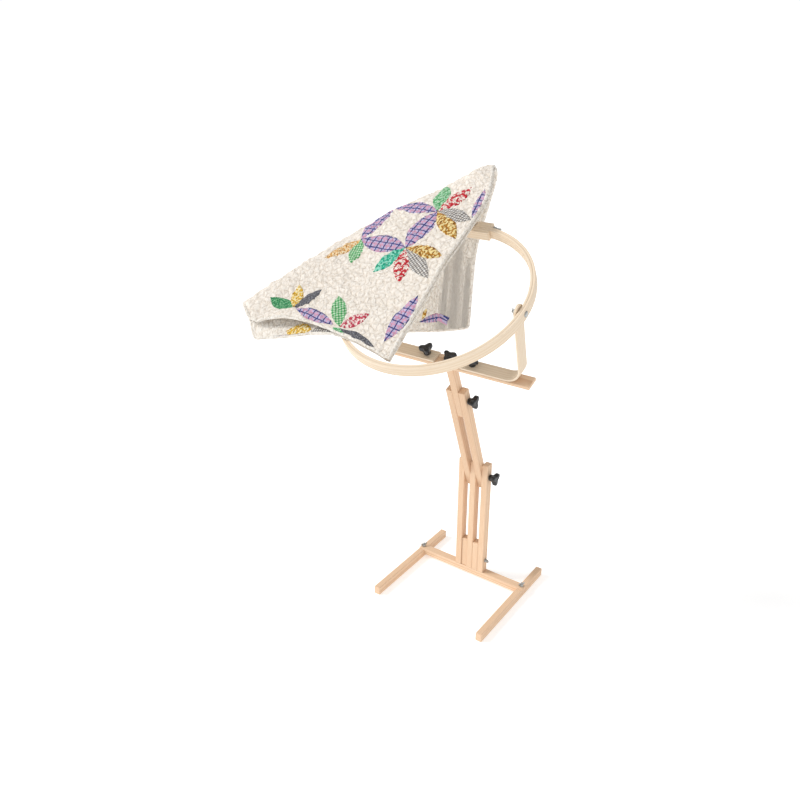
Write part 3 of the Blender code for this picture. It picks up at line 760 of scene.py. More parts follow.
def swept_strip(middle: Array, through: Array, across: Array, outline: Array) -> Array:
    """Carries outlines along a path: point = middle + a * across + b * through.

    Args:
        middle: Path points by station.
        through: The unit thickness direction by station.
        across: The unit width direction by station.
        outline: Cross-section points by station and outline point.

    Returns:
        Points by station and outline point, with the first outline point repeated last.
    """
    outline = np.concatenate((outline, outline[:, :1]), 1)
    return (
        middle[:, None]
        + outline[..., :1] * across[:, None]
        + outline[..., 1:] * through[:, None]
    )


def strip_map(middle: Array, outline: Array) -> Array:
    """Maps a strip in metres: along its path, and round its outline."""
    step = np.linalg.norm(np.diff(middle, axis=0), axis=1)
    along = np.concatenate(([0.0], np.cumsum(step)))
    loop = np.concatenate((outline, outline[:, :1]), 1)
    round_it = np.cumsum(
        np.concatenate((np.zeros((len(loop), 1)), np.linalg.norm(np.diff(loop, axis=1), axis=2)), 1),
        axis=1,
    )
    return np.stack((np.broadcast_to(along[:, None], round_it.shape), round_it), -1)


def capped(grid: Array, map_points: Array) -> tuple[Array, Array]:
    """Closes both ends of a swept strip with the outline's own middle point."""
    first, last = grid[:1].mean(1, keepdims=True), grid[-1:].mean(1, keepdims=True)
    ends = [np.broadcast_to(e, (1, *grid.shape[1:])) for e in (first, last)]
    maps = np.concatenate((map_points[:1], map_points, map_points[-1:]))
    return np.concatenate((ends[0], grid, ends[1])), maps


@dataclass
class Hoops:
    """The closed inner hoop and the split outer hoop, steam-bent from one strip each."""

    radius: float = 0.2453
    wall: float = 0.00635
    height: float = 0.026
    edge: float = 0.0011
    stations: int = 300
    split_at: float = -0.014
    split_width: float = 0.004

    def ring(self, name: str, outer: float, start: float, turn: float) -> bpy.types.Object:
        """Makes one hoop from a start angle over a turn, with its ends capped if open."""
        angle = start + np.linspace(0, turn, self.stations)
        radial = np.stack((np.cos(angle), np.sin(angle), 0 * angle), -1)
        middle = radial * (outer - self.wall / 2)
        upright = np.broadcast_to((0.0, 0.0, 1.0), radial.shape)
        outline = rounded_strip(np.full(len(angle), self.height), self.wall, self.edge)
        grid = swept_strip(middle, radial, upright, outline)
        map_points = strip_map(middle, outline)
        if turn < 2 * pi:
            grid, map_points = capped(grid, map_points)
        return Shell().add(HOOP_HOME.place(grid), map_points=map_points).build(name)

    def build(self) -> None:
        """Builds both hoops."""
        bent = BENT_WOOD.build_bent()
        inner_outside = self.radius - self.wall - GAP
        inner = self.ring("bent_inner_hoop", inner_outside, 0.3, 2 * pi)
        settle(inner, bent, "hoop", "bentwood", "inner_hoop")
        left = (self.split_at - self.split_width / 2) / self.radius
        right = (self.split_at + self.split_width / 2) / self.radius
        start = pi / 2 - left
        outer = self.ring("bent_outer_hoop", self.radius, start, 2 * pi - (right - left))
        settle(outer, bent, "hoop", "bentwood", "outer_hoop")


@dataclass
class Brackets:
    """Two bentwood brackets, each a leg, a bend and an upright with rounded ends."""

    width: float = 0.038
    thickness: float = 0.006
    inner_end: float = 0.040
    bend_radius: float = 0.047
    splay: float = radians(4.0)
    head: float = 0.021
    pivot_x: float = 0.2260
    pivot_z: float = 0.2241
    board: float = 0.0095

    def path(self) -> tuple[Array, Array]:
        """Returns the middle line (x, z) of leg, bend and upright, and its angle of travel."""
        base = self.board + GAP + self.thickness / 2
        turn = pi / 2 - self.splay
        rise = (self.pivot_z - base - self.bend_radius * (1 - cos(turn))) / sin(turn)
        bend_x = self.pivot_x - rise * cos(turn) - self.bend_radius * sin(turn)
        leg = np.linspace(self.inner_end, bend_x, 16, endpoint=False)
        a = np.linspace(0, turn, 28)
        up = np.linspace(0, rise + self.head, 60)[1:]
        x = np.concatenate((leg, bend_x + self.bend_radius * np.sin(a), 0 * up))
        z = np.concatenate((0 * leg + base, base + self.bend_radius * (1 - np.cos(a)), 0 * up))
        top = len(leg) + len(a)
        x[top:] = x[top - 1] + up * cos(turn)
        z[top:] = z[top - 1] + up * sin(turn)
        angle = np.concatenate((0 * leg, a, 0 * up + turn))
        return np.stack((x, z), -1), angle

    def one(self, side: str, sign: int, bent: bpy.types.Material) -> None:
        """Builds one bracket. Its width narrows as a half circle at the top end."""
        line, angle = self.path()
        middle = np.stack((sign * line[:, 0], 0 * angle, line[:, 1]), -1)
        through = np.stack((-sign * np.sin(angle), 0 * angle, np.cos(angle)), -1)
        across = np.broadcast_to((0.0, 1.0, 0.0), through.shape)
        step = np.linalg.norm(np.diff(line, axis=0), axis=1)
        left_over = step.sum() - np.concatenate(([0.0], np.cumsum(step)))
        arc = self.width / 2
        short = np.clip(1 - left_over / arc, 0, 1)
        width = np.maximum(self.width * np.sqrt(1 - short**2), 0.006)
        outline = rounded_strip(width, self.thickness, 0.0012)
        grid, map_points = capped(
            swept_strip(middle, through, across, outline), strip_map(middle, outline)
        )
        name = f"{side}_bracket"
        piece = Shell().add(HEAD_HOME.place(grid), map_points=map_points).build(f"bent_{name}")
        settle(piece, bent, "head", "bentwood", name)

    def build(self) -> None:
        """Builds both brackets."""
        bent = BENT_WOOD.build_bent()
        for side, sign in (("left", -1), ("right", 1)):
            self.one(side, sign, bent)


# ---------------------------------------------------------------- fasteners


@dataclass
class Hardware:
    """Carriage bolts, washers, wing nuts and three-lobed knobs of one pattern each."""

    bolt_radius: float = 0.0031
    head_radius: float = 0.0075
    head_height: float = 0.0030
    thread_pitch: float = 0.0010
    thread_length: float = 0.030
    washer_radius: float = 0.0085
    washer_thickness: float = 0.0015
    knob_radius: float = 0.0205
    knob_hub: float = 0.0095
    tail: float = 0.0125
    zinc: bpy.types.Material = field(default_factory=ZINC.build)
    plastic: bpy.types.Material = field(default_factory=PLASTIC.build)

    def bolt(
        self, node: str, body: str, home: Home, at: tuple[float, float, float], turn: Turn,
        length: float,
    ) -> None:
        """Builds a carriage bolt with a domed head and a helical thread towards its tip.

        The dome is r = R cos t, z = -H sin t. The thread is a triangle wave of height/pitch
        less angle/turn, taken off the shank's radius.
        """
        steps = 40
        t = np.linspace(pi / 2, 0, 9)
        head_r = self.head_radius * np.cos(t)
        head_z = -self.head_height * np.sin(t)
        threaded = min(self.thread_length, length * 0.6)
        plain = np.array((0.0, 0.0, length - threaded))
        turns = np.linspace(length - threaded, length - 0.0006, int(threaded / self.thread_pitch * 5))
        height = np.concatenate((head_z, plain, turns, (length, length)))
        base = np.full(len(height), self.bolt_radius)
        base[: len(head_r)] = head_r
        base[len(head_r)] = self.head_radius
        base[-2], base[-1] = self.bolt_radius * 0.8, 0.0
        angle = np.linspace(0, 1, steps, endpoint=False)[:, None]
        phase = (height[None] / self.thread_pitch - angle) % 1.0
        groove = 0.00042 * np.abs(2 * phase - 1)
        inside = np.zeros(len(height))
        inside[len(head_r) + 3 : -2] = 1.0
        heights = np.broadcast_to(height, (steps, len(height)))
        grid = turned_grid(base[None] - groove * inside, heights, steps)
        piece = Shell().add(home.place(grid, at, turn), closed=True).build(f"domed_{node}")
        settle(piece, self.zinc, body, "zinc_plated_steel", node)

    def washer(
        self, node: str, body: str, home: Home, at: tuple[float, float, float], turn: Turn,
        hole: float = 0.0035,
    ) -> None:
        """Builds a flat washer, a ring whose outer edges are rounded by pressing."""
        r, t, e = self.washer_radius, self.washer_thickness, 0.0003
        radius = np.array((hole, r - e, r, r, r - e, hole, hole))
        height = np.array((0.0, 0.0, e, t - e, t, t, 0.0))
        grid = turned_grid(radius[None], height[None], 48)
        piece = Shell().add(home.place(grid, at, turn), closed=True).build(f"pressed_{node}")
        settle(piece, self.zinc, body, "zinc_plated_steel", node)

    def knob(self, node: str, body: str, home: Home, at: tuple[float, float, float],
             turn: Turn, spin: float) -> None:
        """Builds a three-lobed knob with a flared hub and rounded lobes.

        Its radius is hub + lobes * (R - hub) * (0.5 + 0.5 cos 3a)^1.4 at each level.
        """
        rows = np.array((
            (0.0, 0.0, 0.016), (0.0035, 0.0, 0.016), (0.0035, 0.0, 0.0), (0.0088, 0.0, 0.0),
            (0.0095, 0.0, 0.0007), (0.0093, 0.04, 0.0050), (0.0093, 0.22, 0.0080),
            (0.0094, 0.60, 0.0100), (0.0095, 0.90, 0.0112), (0.0095, 0.98, 0.0125),
            (0.0096, 1.0, 0.0150), (0.0096, 1.0, 0.0190), (0.0094, 0.98, 0.0212),
            (0.0090, 0.93, 0.0226), (0.0082, 0.84, 0.0233), (0.0070, 0.70, 0.0235),
            (0.0045, 0.30, 0.0232), (0.0030, 0.10, 0.0226), (0.0, 0.0, 0.0225),
        ))
        steps = 96
        angle = np.linspace(0, 2 * pi, steps, endpoint=False)[:, None]
        lobe = (0.5 + 0.5 * np.cos(3 * angle)) ** 1.4
        radius = rows[:, 0] + rows[:, 1] * (self.knob_radius - self.knob_hub) * lobe
        grid = turned_grid(radius, np.broadcast_to(rows[:, 2], radius.shape), steps)
        piece = Shell().add(home.place(grid, at, turn, spin), closed=True)
        made = piece.build(f"moulded_{node}", smooth_angle=55)
        settle(made, self.plastic, body, "black_plastic", node)

    def wing_nut(self, node: str, body: str, home: Home, at: tuple[float, float, float],
                 turn: Turn, spin: float) -> None:
        """Builds a wing nut: a tapered hub and two flat wings that lean outwards.

        Each wing is an ellipsoid, x and z by its long half axes and y by its thickness.
        """
        radius = np.array((0.0032, 0.0056, 0.0058, 0.0054, 0.0046, 0.0042, 0.0032, 0.0032))
        height = np.array((0.0, 0.0, 0.0006, 0.0030, 0.0066, 0.0075, 0.0075, 0.0))
        shell = Shell().add(
            home.place(turned_grid(radius[None], height[None], 48), at, turn, spin), closed=True
        )
        round_it = np.linspace(0, 2 * pi, 28, endpoint=False)[:, None]
        down = np.linspace(0, pi, 15)[None, :]
        long_x = 0.0036 * np.sin(down) * np.cos(round_it)
        thin_y = 0.0010 * np.sin(down) * np.sin(round_it)
        tall_z = 0.0050 * np.cos(down) + 0 * round_it
        lean = radians(24)
        for sign in (-1, 1):
            x = sign * (0.0068 + long_x * cos(lean) + tall_z * sin(lean))
            z = 0.0076 - long_x * sin(lean) + tall_z * cos(lean)
            wing = np.stack((x, thin_y, np.maximum(z, 0.001)), -1)
            shell.add(home.place(wing, at, turn, spin), closed=True)
        piece = shell.build(f"cast_{node}")
        settle(piece, self.zinc, body, "zinc_plated_steel", node)

    def build(self) -> None:
        """Builds every fastener of the stand."""
        half = 28.875e-3
        foot_x, seat, top = 0.176125, 0.0041, 0.02845
        for side, sign in (("left", -1), ("right", 1)):
            self.bolt(f"{side}_foot_bolt", "base", STAND_HOME, (sign * foot_x, 0, seat), Turn.UP,
                      top + self.tail - seat)
            self.wing_nut(f"{side}_foot_wing_nut", f"{side}_foot_wing_nut_body", STAND_HOME,
                          (sign * foot_x, 0, top + GAP), Turn.UP, pi / 3)
            x = sign * 0.069
            self.bolt(f"{side}_bracket_bolt", "head", HEAD_HOME, (x, 0, -GAP), Turn.UP, 0.0332)
            self.washer(f"{side}_bracket_washer", "head", HEAD_HOME, (x, 0, 0.0161), Turn.UP)
            self.knob(f"{side}_bracket_knob", f"{side}_bracket_knob_body", HEAD_HOME,
                      (x, 0, 0.0179), Turn.UP, pi / 2 + sign * 0.3)
            inward = Turn.AGAINST_X if sign > 0 else Turn.ALONG_X
            self.bolt(f"{side}_hoop_bolt", "hoop", HOOP_HOME, (sign * 0.2456, 0, 0), inward,
                      0.2456 - 0.2224 + self.tail)
            self.washer(f"{side}_hoop_washer", "hoop", HOOP_HOME, (sign * 0.2317, 0, 0), inward)
            self.wing_nut(f"{side}_hoop_wing_nut", f"{side}_hoop_wing_nut_body", HOOP_HOME,
                          (sign * 0.2224, 0, 0), inward, 0.0)
        edge = POST_HALF + GAP
        self.bolt("post_bolt", "base", STAND_HOME, (-edge, 0, 0.06845), Turn.ALONG_X,
                  2 * POST_HALF + GAP + self.tail)
        self.wing_nut("post_wing_nut", "post_wing_nut_body", STAND_HOME, (edge, 0, 0.06845),
                      Turn.ALONG_X, 0.4)
        self.bolt("clamp_screw", "hoop", HOOP_HOME, (-0.0603, 0.2526, 0), Turn.ALONG_X, 0.1131)
        self.wing_nut("clamp_wing_nut", "clamp_wing_nut_body", HOOP_HOME, (0.0323, 0.2526, 0),
                      Turn.ALONG_X, pi / 3)
        self.pivot("lower", "base", STAND_HOME, 0.36195, POST_HALF)
        self.pivot("upper", "lower_arms", LOWER_HOME, 0.2991, half)
        self.bolt("head_stud", "upper_arm", HEAD_HOME, (0, 0, -0.034), Turn.UP, 0.0606)
        self.washer("head_washer", "head", HEAD_HOME, (0, 0, 0.0098), Turn.UP, 0.0044)
        self.knob("head_knob", "head_knob_body", HEAD_HOME, (0, 0, 0.0116), Turn.UP, 0.5)
        for name in ("left_post_screw", "right_post_screw"):
            frame["nodes"][name].material_slots[0].material = self.zinc

    def pivot(self, name: str, body: str, home: Home, z: float, half: float) -> None:
        """Builds a tilt's bolt, washer and knob at a height on its home."""
        edge = half + GAP
        length = 2 * half + self.washer_thickness + 3 * GAP + 0.015
        self.bolt(f"{name}_pivot_bolt", body, home, (-edge, 0, z), Turn.ALONG_X, length)
        self.washer(f"{name}_pivot_washer", body, home, (edge, 0, z), Turn.ALONG_X)
        self.knob(f"{name}_knob", f"{name}_knob_body", home,
                  (edge + self.washer_thickness + GAP, 0, z), Turn.ALONG_X, 0.0)


# ---------------------------------------------------------------- quilt


def smooth_step(values: Array, low: float, high: float) -> Array:
    """Rises from 0 at low to 1 at high as 3t^2 - 2t^3."""
    t = np.clip((values - low) / (high - low), 0, 1)
    return t * t * (3 - 2 * t)


def cloud(x: Array, y: Array, seed: int) -> Array:
    """Smooth noise from -1 to 1 with one random value on each whole x and y."""
    table = np.random.default_rng(seed).uniform(-1, 1, (64, 64))
    i, j = np.floor(x).astype(int), np.floor(y).astype(int)
    s, t = (v * v * (3 - 2 * v) for v in (x - i, y - j))
    corner = lambda a, b: table[(i + a) % 64, (j + b) % 64]
    low = corner(0, 0) * (1 - s) + corner(1, 0) * s
    high = corner(0, 1) * (1 - s) + corner(1, 1) * s
    return low * (1 - t) + high * t


# The drape's middle surface about the post, in rows from the front hem over the ridge to
# the bottom fold behind, each with a point at the right edge, half way and the left tip
CAGE = (
    ((0.008, -0.4335, 0.861), (-0.200, -0.4200, 0.8892), (-0.405, -0.4310, 0.852)),
    ((0.010, -0.2435, 1.016), (-0.215, -0.3000, 0.9613), (-0.430, -0.4300, 0.868)),
    ((0.010, -0.0535, 1.134), (-0.230, -0.1800, 1.047), (-0.450, -0.4240, 0.885)),
    ((0.000, 0.0495, 1.196), (-0.245, -0.1000, 1.090), (-0.472, -0.4060, 0.893)),
    ((-0.030, 0.1145, 1.204), (-0.262, -0.0480, 1.093), (-0.480, -0.3850, 0.888)),
    ((-0.070, 0.1395, 1.130), (-0.282, -0.0180, 1.045), (-0.476, -0.3560, 0.872)),
    ((-0.105, 0.1295, 0.980), (-0.296, -0.0160, 0.925), (-0.462, -0.3160, 0.842)),
    ((-0.112, 0.1195, 0.795), (-0.300, -0.0350, 0.770), (-0.445, -0.2850, 0.806)),
)


class Drape:
    """The draped cloth's middle surface, and its flat map found by unrolling it.

    Across, each cage row is the parabola through its three points. Along, a Catmull-Rom
    spline runs through the rows, with its end rows mirrored outwards.
    """

    def __init__(self, columns: int, rows: int) -> None:
        """Works out the surface, its normals and its flat map.

        Args:
            columns: Points from the right edge to the left tip.
            rows: Points from the front hem to the fold behind.
        """
        self.u = np.linspace(0, 1, columns)[:, None]
        self.v = np.linspace(0, 1, rows)[None, :]
        self.points = self.surface(columns, rows)
        run = np.gradient(self.points, axis=0)
        rise = np.gradient(self.points, axis=1)
        normal = np.cross(rise, run)
        self.normal = normal / np.linalg.norm(normal, axis=-1, keepdims=True)
        self.flat = self.unroll()

    @staticmethod
    def surface(columns: int, rows: int) -> Array:
        """Returns the middle surface's points in the stand's frame."""
        cage = np.array(CAGE) + np.array((*POST, 0.0))
        across = np.linspace(0, 1, columns)[:, None, None]
        right, middle, left = cage[:, 0], cage[:, 1], cage[:, 2]
        lines = (
            right * (1 - across) * (1 - 2 * across)
            + middle * 4 * across * (1 - across)
            + left * across * (2 * across - 1)
        )
        lines = np.concatenate(
            (2 * lines[:, :1] - lines[:, 1:2], lines, 2 * lines[:, -1:] - lines[:, -2:-1]), 1
        )
        spans = len(cage) - 1
        along = np.linspace(0, spans, rows)
        span = np.minimum(along.astype(int), spans - 1)
        t = (along - span)[None, :, None]
        before, start, end, after = (lines[:, span + k] for k in range(4))
        return 0.5 * (
            2 * start
            + (end - before) * t
            + (2 * before - 5 * start + 4 * end - after) * t**2
            + (3 * start - before - 3 * end + after) * t**3
        )

    def unroll(self) -> Array:
        """Returns flat cloth coordinates in metres, from the right edge and from the hem.

        Each row is laid beside the last: a step keeps its length and its angle to the row.
        """
        points = self.points
        up = np.array((0.0, 0.809, 0.588))
        start = np.array((0.008 + POST[0], -0.4335 + POST[1], 0.855))
        flat = np.zeros((*points.shape[:2], 2))
        flat[:, 0, 0] = start[0] - points[:, 0, 0]
        flat[:, 0, 1] = (points[:, 0] - start) @ up
        for j in range(points.shape[1] - 1):
            step = points[:, j + 1] - points[:, j]
            run = np.gradient(points[:, j], axis=0)
            run /= np.linalg.norm(run, axis=1)[:, None]
            along = (step * run).sum(1)
            away = np.sqrt(np.maximum((step**2).sum(1) - along**2, 0))
            laid = np.gradient(flat[:, j], axis=0)
            laid /= np.linalg.norm(laid, axis=1)[:, None]
            square = np.stack((-laid[:, 1], laid[:, 0]), 1)
            flat[:, j + 1] = flat[:, j] + along[:, None] * laid + away[:, None] * square
        return flat

    def sample(self, values: Array, places: Array) -> Array:
        """Reads a grid of values at fractional column and row places, linearly between."""
        columns, rows = values.shape[:2]
        i = np.clip(places[..., 0].astype(int), 0, columns - 2)
        j = np.clip(places[..., 1].astype(int), 0, rows - 2)
        s, t = (places[..., 0] - i)[..., None], (places[..., 1] - j)[..., None]
        low = values[i, j] * (1 - s) + values[i + 1, j] * s
        high = values[i, j + 1] * (1 - s) + values[i + 1, j + 1] * s
        return low * (1 - t) + high * t

    def find(self, flat: Array) -> Array:
        """Finds the grid places of flat cloth points, by nearest point and then Newton steps.

        Args:
            flat: Cloth coordinates in metres.

        Returns:
            Fractional column and row places, kept inside the cloth.
        """
        shape = flat.shape[:-1]
        wanted = flat.reshape(-1, 2)
        columns, rows = self.flat.shape[:2]
        coarse = self.flat[::4, ::4].reshape(-1, 2)
        nearest = ((wanted[:, None] - coarse[None]) ** 2).sum(-1).argmin(1)
        coarse_rows = self.flat[::4, ::4].shape[1]
        place = np.stack((nearest // coarse_rows * 4.0, nearest % coarse_rows * 4.0), -1)
        slope_u, slope_v = np.gradient(self.flat, axis=0), np.gradient(self.flat, axis=1)
        for _ in range(12):
            miss = wanted - self.sample(self.flat, place)
            a, b = self.sample(slope_u, place), self.sample(slope_v, place)
            size = a[:, 0] * b[:, 1] - a[:, 1] * b[:, 0]
            size = np.where(np.abs(size) < 1e-9, 1e-9, size)
            step_u = (miss[:, 0] * b[:, 1] - miss[:, 1] * b[:, 0]) / size
            step_v = (a[:, 0] * miss[:, 1] - a[:, 1] * miss[:, 0]) / size
            place = place + np.clip(np.stack((step_u, step_v), -1), -8, 8)
            place = np.clip(place, 0, (columns - 1, rows - 1))
        return place.reshape(*shape, 2)


@dataclass
class Patch:
    """A leaf or lens of print cloth sewn on the quilt, from one flat point to another.

    An inside patch is sewn to the face that looks at the quilt's other layer.
    """

    name: str
    cloth: Print
    start: tuple[float, float]
    end: tuple[float, float]
    width: float
    inside: bool = False
    stations: int = 30
    widths: int = 9

    def outline(self) -> tuple[Array, Array]:
        """Works out its flat points, half the width times 4 t (1 - t) beside its spine.

        Returns:
            Points on the quilt's flat map, and the patch's own map in metres along its grain.
        """
        t = np.linspace(0.0, 1.0, self.stations)[:, None]
        s = np.linspace(-1, 1, self.widths)[None, :]
        start, end = np.array(self.start), np.array(self.end)
        along = end - start
        length = np.linalg.norm(along)
        square = np.array((-along[1], along[0])) / length
        beside = self.width / 2 * (4 * t * (1 - t)) * s
        own = np.stack((beside + self.width, np.broadcast_to(length * t, beside.shape)), -1)
        return start + along * t[..., None] + square * beside[..., None], own


@dataclass
class Quilt:
    """A washed patchwork quilt, folded to two layers and draped over the hoop's left half."""

    columns: int = 150
    rows: int = 270
    layer: float = 0.0066
    outside: float = 0.0080
    hem_split: float = 0.020
    lip_drop: float = 0.022
    ring_side: float = 0.147
    ring_turn: float = 0.536
    behind_rings: tuple[tuple[float, float], ...] = ((0.360, 0.690), (0.500, 0.330))
    behind_lens_width: float = 0.064
    behind_leaf_length: float = 0.105
    behind_leaf_width: float = 0.042
    fan_start: float = radians(-57)
    fan_step: float = radians(38)
    flat_slip: float = 0.0015
    stretch_limits: tuple[float, float] = (0.8, 1.2)
    ridge_row: float = 0.54
    channel_pitch: float = 0.021
    channel_width: float = 0.003
    channel_depth: float = 0.0024
    ripple_height: float = 0.0021
    binding_half_width: float = 0.0045
    binding_proud: float = 0.0006
    patch_height: float = 0.0011
    patch_edge: float = 0.0002
    patch_sunk: float = 0.0012
    crease: float = 80.0
    patches: tuple[Patch, ...] = (
        Patch("patch_lens_n1_n2", Print.PLAID, (0.127, 0.313), (0.115, 0.452), 0.060),
        Patch("patch_lens_n1_n3", Print.PLAID, (0.127, 0.313), (0.270, 0.318), 0.058),
        Patch("patch_lens_n2_n4", Print.PLAID, (0.115, 0.452), (0.262, 0.462), 0.046),
        Patch("patch_lens_n3_n4", Print.PLAID, (0.270, 0.318), (0.262, 0.462), 0.050),
        Patch("patch_n1_gold", Print.GOLD, (0.127, 0.313), (0.012, 0.301), 0.042),
        Patch("patch_n1_grey", Print.GREY_CHECK, (0.127, 0.313), (0.013, 0.231), 0.042),
        Patch("patch_n1_red", Print.RED, (0.127, 0.313), (0.082, 0.205), 0.046),
        Patch("patch_n1_teal", Print.TEAL, (0.127, 0.313), (0.174, 0.224), 0.042),
        Patch("patch_n2_gold", Print.GOLD, (0.115, 0.452), (0.012, 0.365), 0.042),
        Patch("patch_n2_grey", Print.GREY_CHECK, (0.115, 0.452), (0.006, 0.432), 0.042),
        Patch("patch_n2_red", Print.RED, (0.115, 0.452), (0.060, 0.540), 0.046),
        Patch("patch_n2_green", Print.MINT, (0.115, 0.452), (0.150, 0.555), 0.044),
        Patch("patch_n3_green", Print.GREEN_CHECK, (0.270, 0.318), (0.254, 0.238), 0.040),
        Patch("patch_n3_orange", Print.ORANGE, (0.270, 0.318), (0.340, 0.237), 0.036),
        Patch("patch_na_green", Print.GREEN, (0.320, 0.054), (0.415, 0.082), 0.040),
        Patch("patch_na_yellow", Print.YELLOW, (0.320, 0.054), (0.360, 0.140), 0.036),
        Patch("patch_na_slate", Print.SLATE, (0.320, 0.054), (0.286, 0.140), 0.036),
        Patch("patch_lens_na_nb", Print.PLAID, (0.312, 0.055), (0.180, 0.045), 0.036),
        Patch("patch_nb_green", Print.GREEN_CHECK, (0.162, 0.045), (0.222, 0.130), 0.040),
        Patch("patch_nb_pink", Print.PINK, (0.160, 0.043), (0.108, 0.100), 0.036),
        Patch("patch_nb_slate", Print.SLATE, (0.155, 0.038), (0.047, 0.020), 0.024),
        Patch("patch_lens_right", Print.PLAID, (0.013, 0.180), (0.030, 0.040), 0.042),
        Patch("patch_lens_top_right", Print.PLAID, (0.008, 0.440), (0.020, 0.540), 0.026),
        Patch("patch_nb_mint", Print.MINT, (0.174, 0.036), (0.118, 0.014), 0.026),
        Patch("patch_nb_maroon", Print.MAROON, (0.122, 0.018), (0.070, 0.005), 0.022),
    )
    lip_patches: tuple[Patch, ...] = (
        Patch("patch_lip_plaid", Print.PLAID, (0.352, 0.008), (0.268, 0.012), 0.018, True),
        Patch("patch_lip_yellow", Print.YELLOW, (0.322, 0.034), (0.244, 0.040), 0.042, True),
        Patch("patch_lip_grey", Print.GREY_CHECK, (0.242, 0.034), (0.172, 0.042), 0.040, True),
    )
    lining_patches: tuple[Patch, ...] = (
        Patch("patch_lining_gold", Print.GOLD, (0.540, 0.640), (0.508, 0.652), 0.014),
        Patch("patch_lining_plaid", Print.PLAID, (0.466, 0.775), (0.551, 0.632), 0.022),
    )

    def behind_patches(self, drape: Drape) -> list[Patch]:
        """Returns the rings on the side that hangs behind, less the patches that do not fit."""
        fans = (
            (Print.GOLD, Print.GREY_CHECK, Print.RED, Print.TEAL),
            (Print.MINT, Print.YELLOW, Print.SLATE, Print.PINK),
            (Print.ORANGE, Print.GREEN_CHECK, Print.MAROON, Print.GREY_CHECK),
            (Print.RED, Print.GOLD, Print.GREEN, Print.SLATE),
        )
        reach = self.ring_side / 2 * 2**0.5
        made = []
        for r, centre in enumerate(self.behind_rings):
            corner_angles = [self.ring_turn + pi / 4 + k * pi / 2 for k in range(4)]
            corners = [
                (centre[0] + reach * cos(a), centre[1] + reach * sin(a)) for a in corner_angles
            ]
            for k, corner in enumerate(corners):
                name = f"patch_behind_lens_{r}_{k}"
                beyond = corners[(k + 1) % 4]
                made.append(Patch(name, Print.PLAID, corner, beyond, self.behind_lens_width))
                for m, cloth in enumerate(fans[(k + r) % 4]):
                    a = corner_angles[k] + self.fan_start + self.fan_step * m
                    length = self.behind_leaf_length
                    tip = (corner[0] + length * cos(a), corner[1] + length * sin(a))
                    name = f"patch_behind_leaf_{r}_{k}_{m}"
                    made.append(Patch(name, cloth, corner, tip, self.behind_leaf_width))
        return [patch for patch in made if self.fits(patch, drape)]

    def fits(self, patch: Patch, drape: Drape) -> bool:
        """Tells whether a patch lies unstretched, wholly on the cloth and behind the ridge."""
        flat, _ = patch.outline()
        place = drape.find(flat)
        miss = np.linalg.norm(drape.sample(drape.flat, place) - flat, axis=-1).max()
        laid = np.linalg.norm(np.diff(drape.sample(drape.points, place), axis=0), axis=-1)
        drawn = np.linalg.norm(np.diff(flat, axis=0), axis=-1)
        stretch = laid / drawn
        least, most = self.stretch_limits
        even = stretch.max() < most and stretch.min() > least
        behind = place[..., 1].min() > self.ridge_row * drape.v.size
        return bool(miss < self.flat_slip and even and behind)

    def relief(self, flat: Array) -> Array:
        """Returns the top's relief in metres: stitched channels with puckers between them.

        Channels lie on the level lines, 21 mm apart, of a gently warped distance field. The
        cloth dips to each as exp(-(d / 3 mm)^2), and ripples run across the channels.
        """
        a, b = flat[..., 0], flat[..., 1]
        warp = 0.012 * cloud(a / 0.09, b / 0.09, 3) + 0.006 * cloud(a / 0.04, b / 0.04, 4)
        field_value = np.hypot(a - 0.20, b - 0.39) + warp
        away = np.abs((field_value / self.channel_pitch) % 1.0 - 0.5) * self.channel_pitch
        channel = np.exp(-((away / self.channel_width) ** 2))
        ripple = cloud(a / 0.011, b / 0.011, 5) + 0.6 * cloud(a / 0.019 + 7, b / 0.019, 6)
        return -self.channel_depth * channel + self.ripple_height * ripple * (1 - 0.5 * channel)

    def folds(self, drape: Drape) -> Array:
        """Returns broad soft folds in metres along the normal.

        They are fuller at the ridge's right end and slacken on the side that hangs behind.
        """
        a, b = drape.flat[..., 0], drape.flat[..., 1]
        soft = 0.0022 * cloud(a / 0.07 + 3, b / 0.07, 8) + 0.003 * cloud(a / 0.16, b / 0.16, 9)
        crown = np.exp(-(((drape.u - 0.06) / 0.12) ** 2) - ((drape.v - 0.50) / 0.12) ** 2)
        slack = 1 - 0.75 * smooth_step(drape.v, 0.60, 0.75)
        return soft * slack + 0.018 * crown

    def middle(self, drape: Drape, upper: bool) -> Array:
        """Returns a layer's middle surface.

        It parts from the other layer at the hem's left end, draws in at the ridge's right end
        and hangs lower behind, most of all at its right corner.
        """
        part = smooth_step(drape.u, 0.34, 0.84) * np.exp(-((drape.v / 0.12) ** 2))
        lift = self.hem_split if upper else -self.lip_drop
        tuck = np.exp(-((drape.u / 0.085) ** 2) - ((drape.v - 0.50) / 0.12) ** 2)
        hang = smooth_step(drape.v, 0.86, 1.0)
        corner = 0.018 + 0.020 * np.exp(-((drape.u / 0.35) ** 2))
        down = lift * part - 0.008 * tuck - corner * hang
        shift = np.stack((-0.020 * tuck, -0.8 * np.abs(lift) * part * (not upper), down), -1)
        return drape.points + shift + drape.normal * self.folds(drape)[..., None]

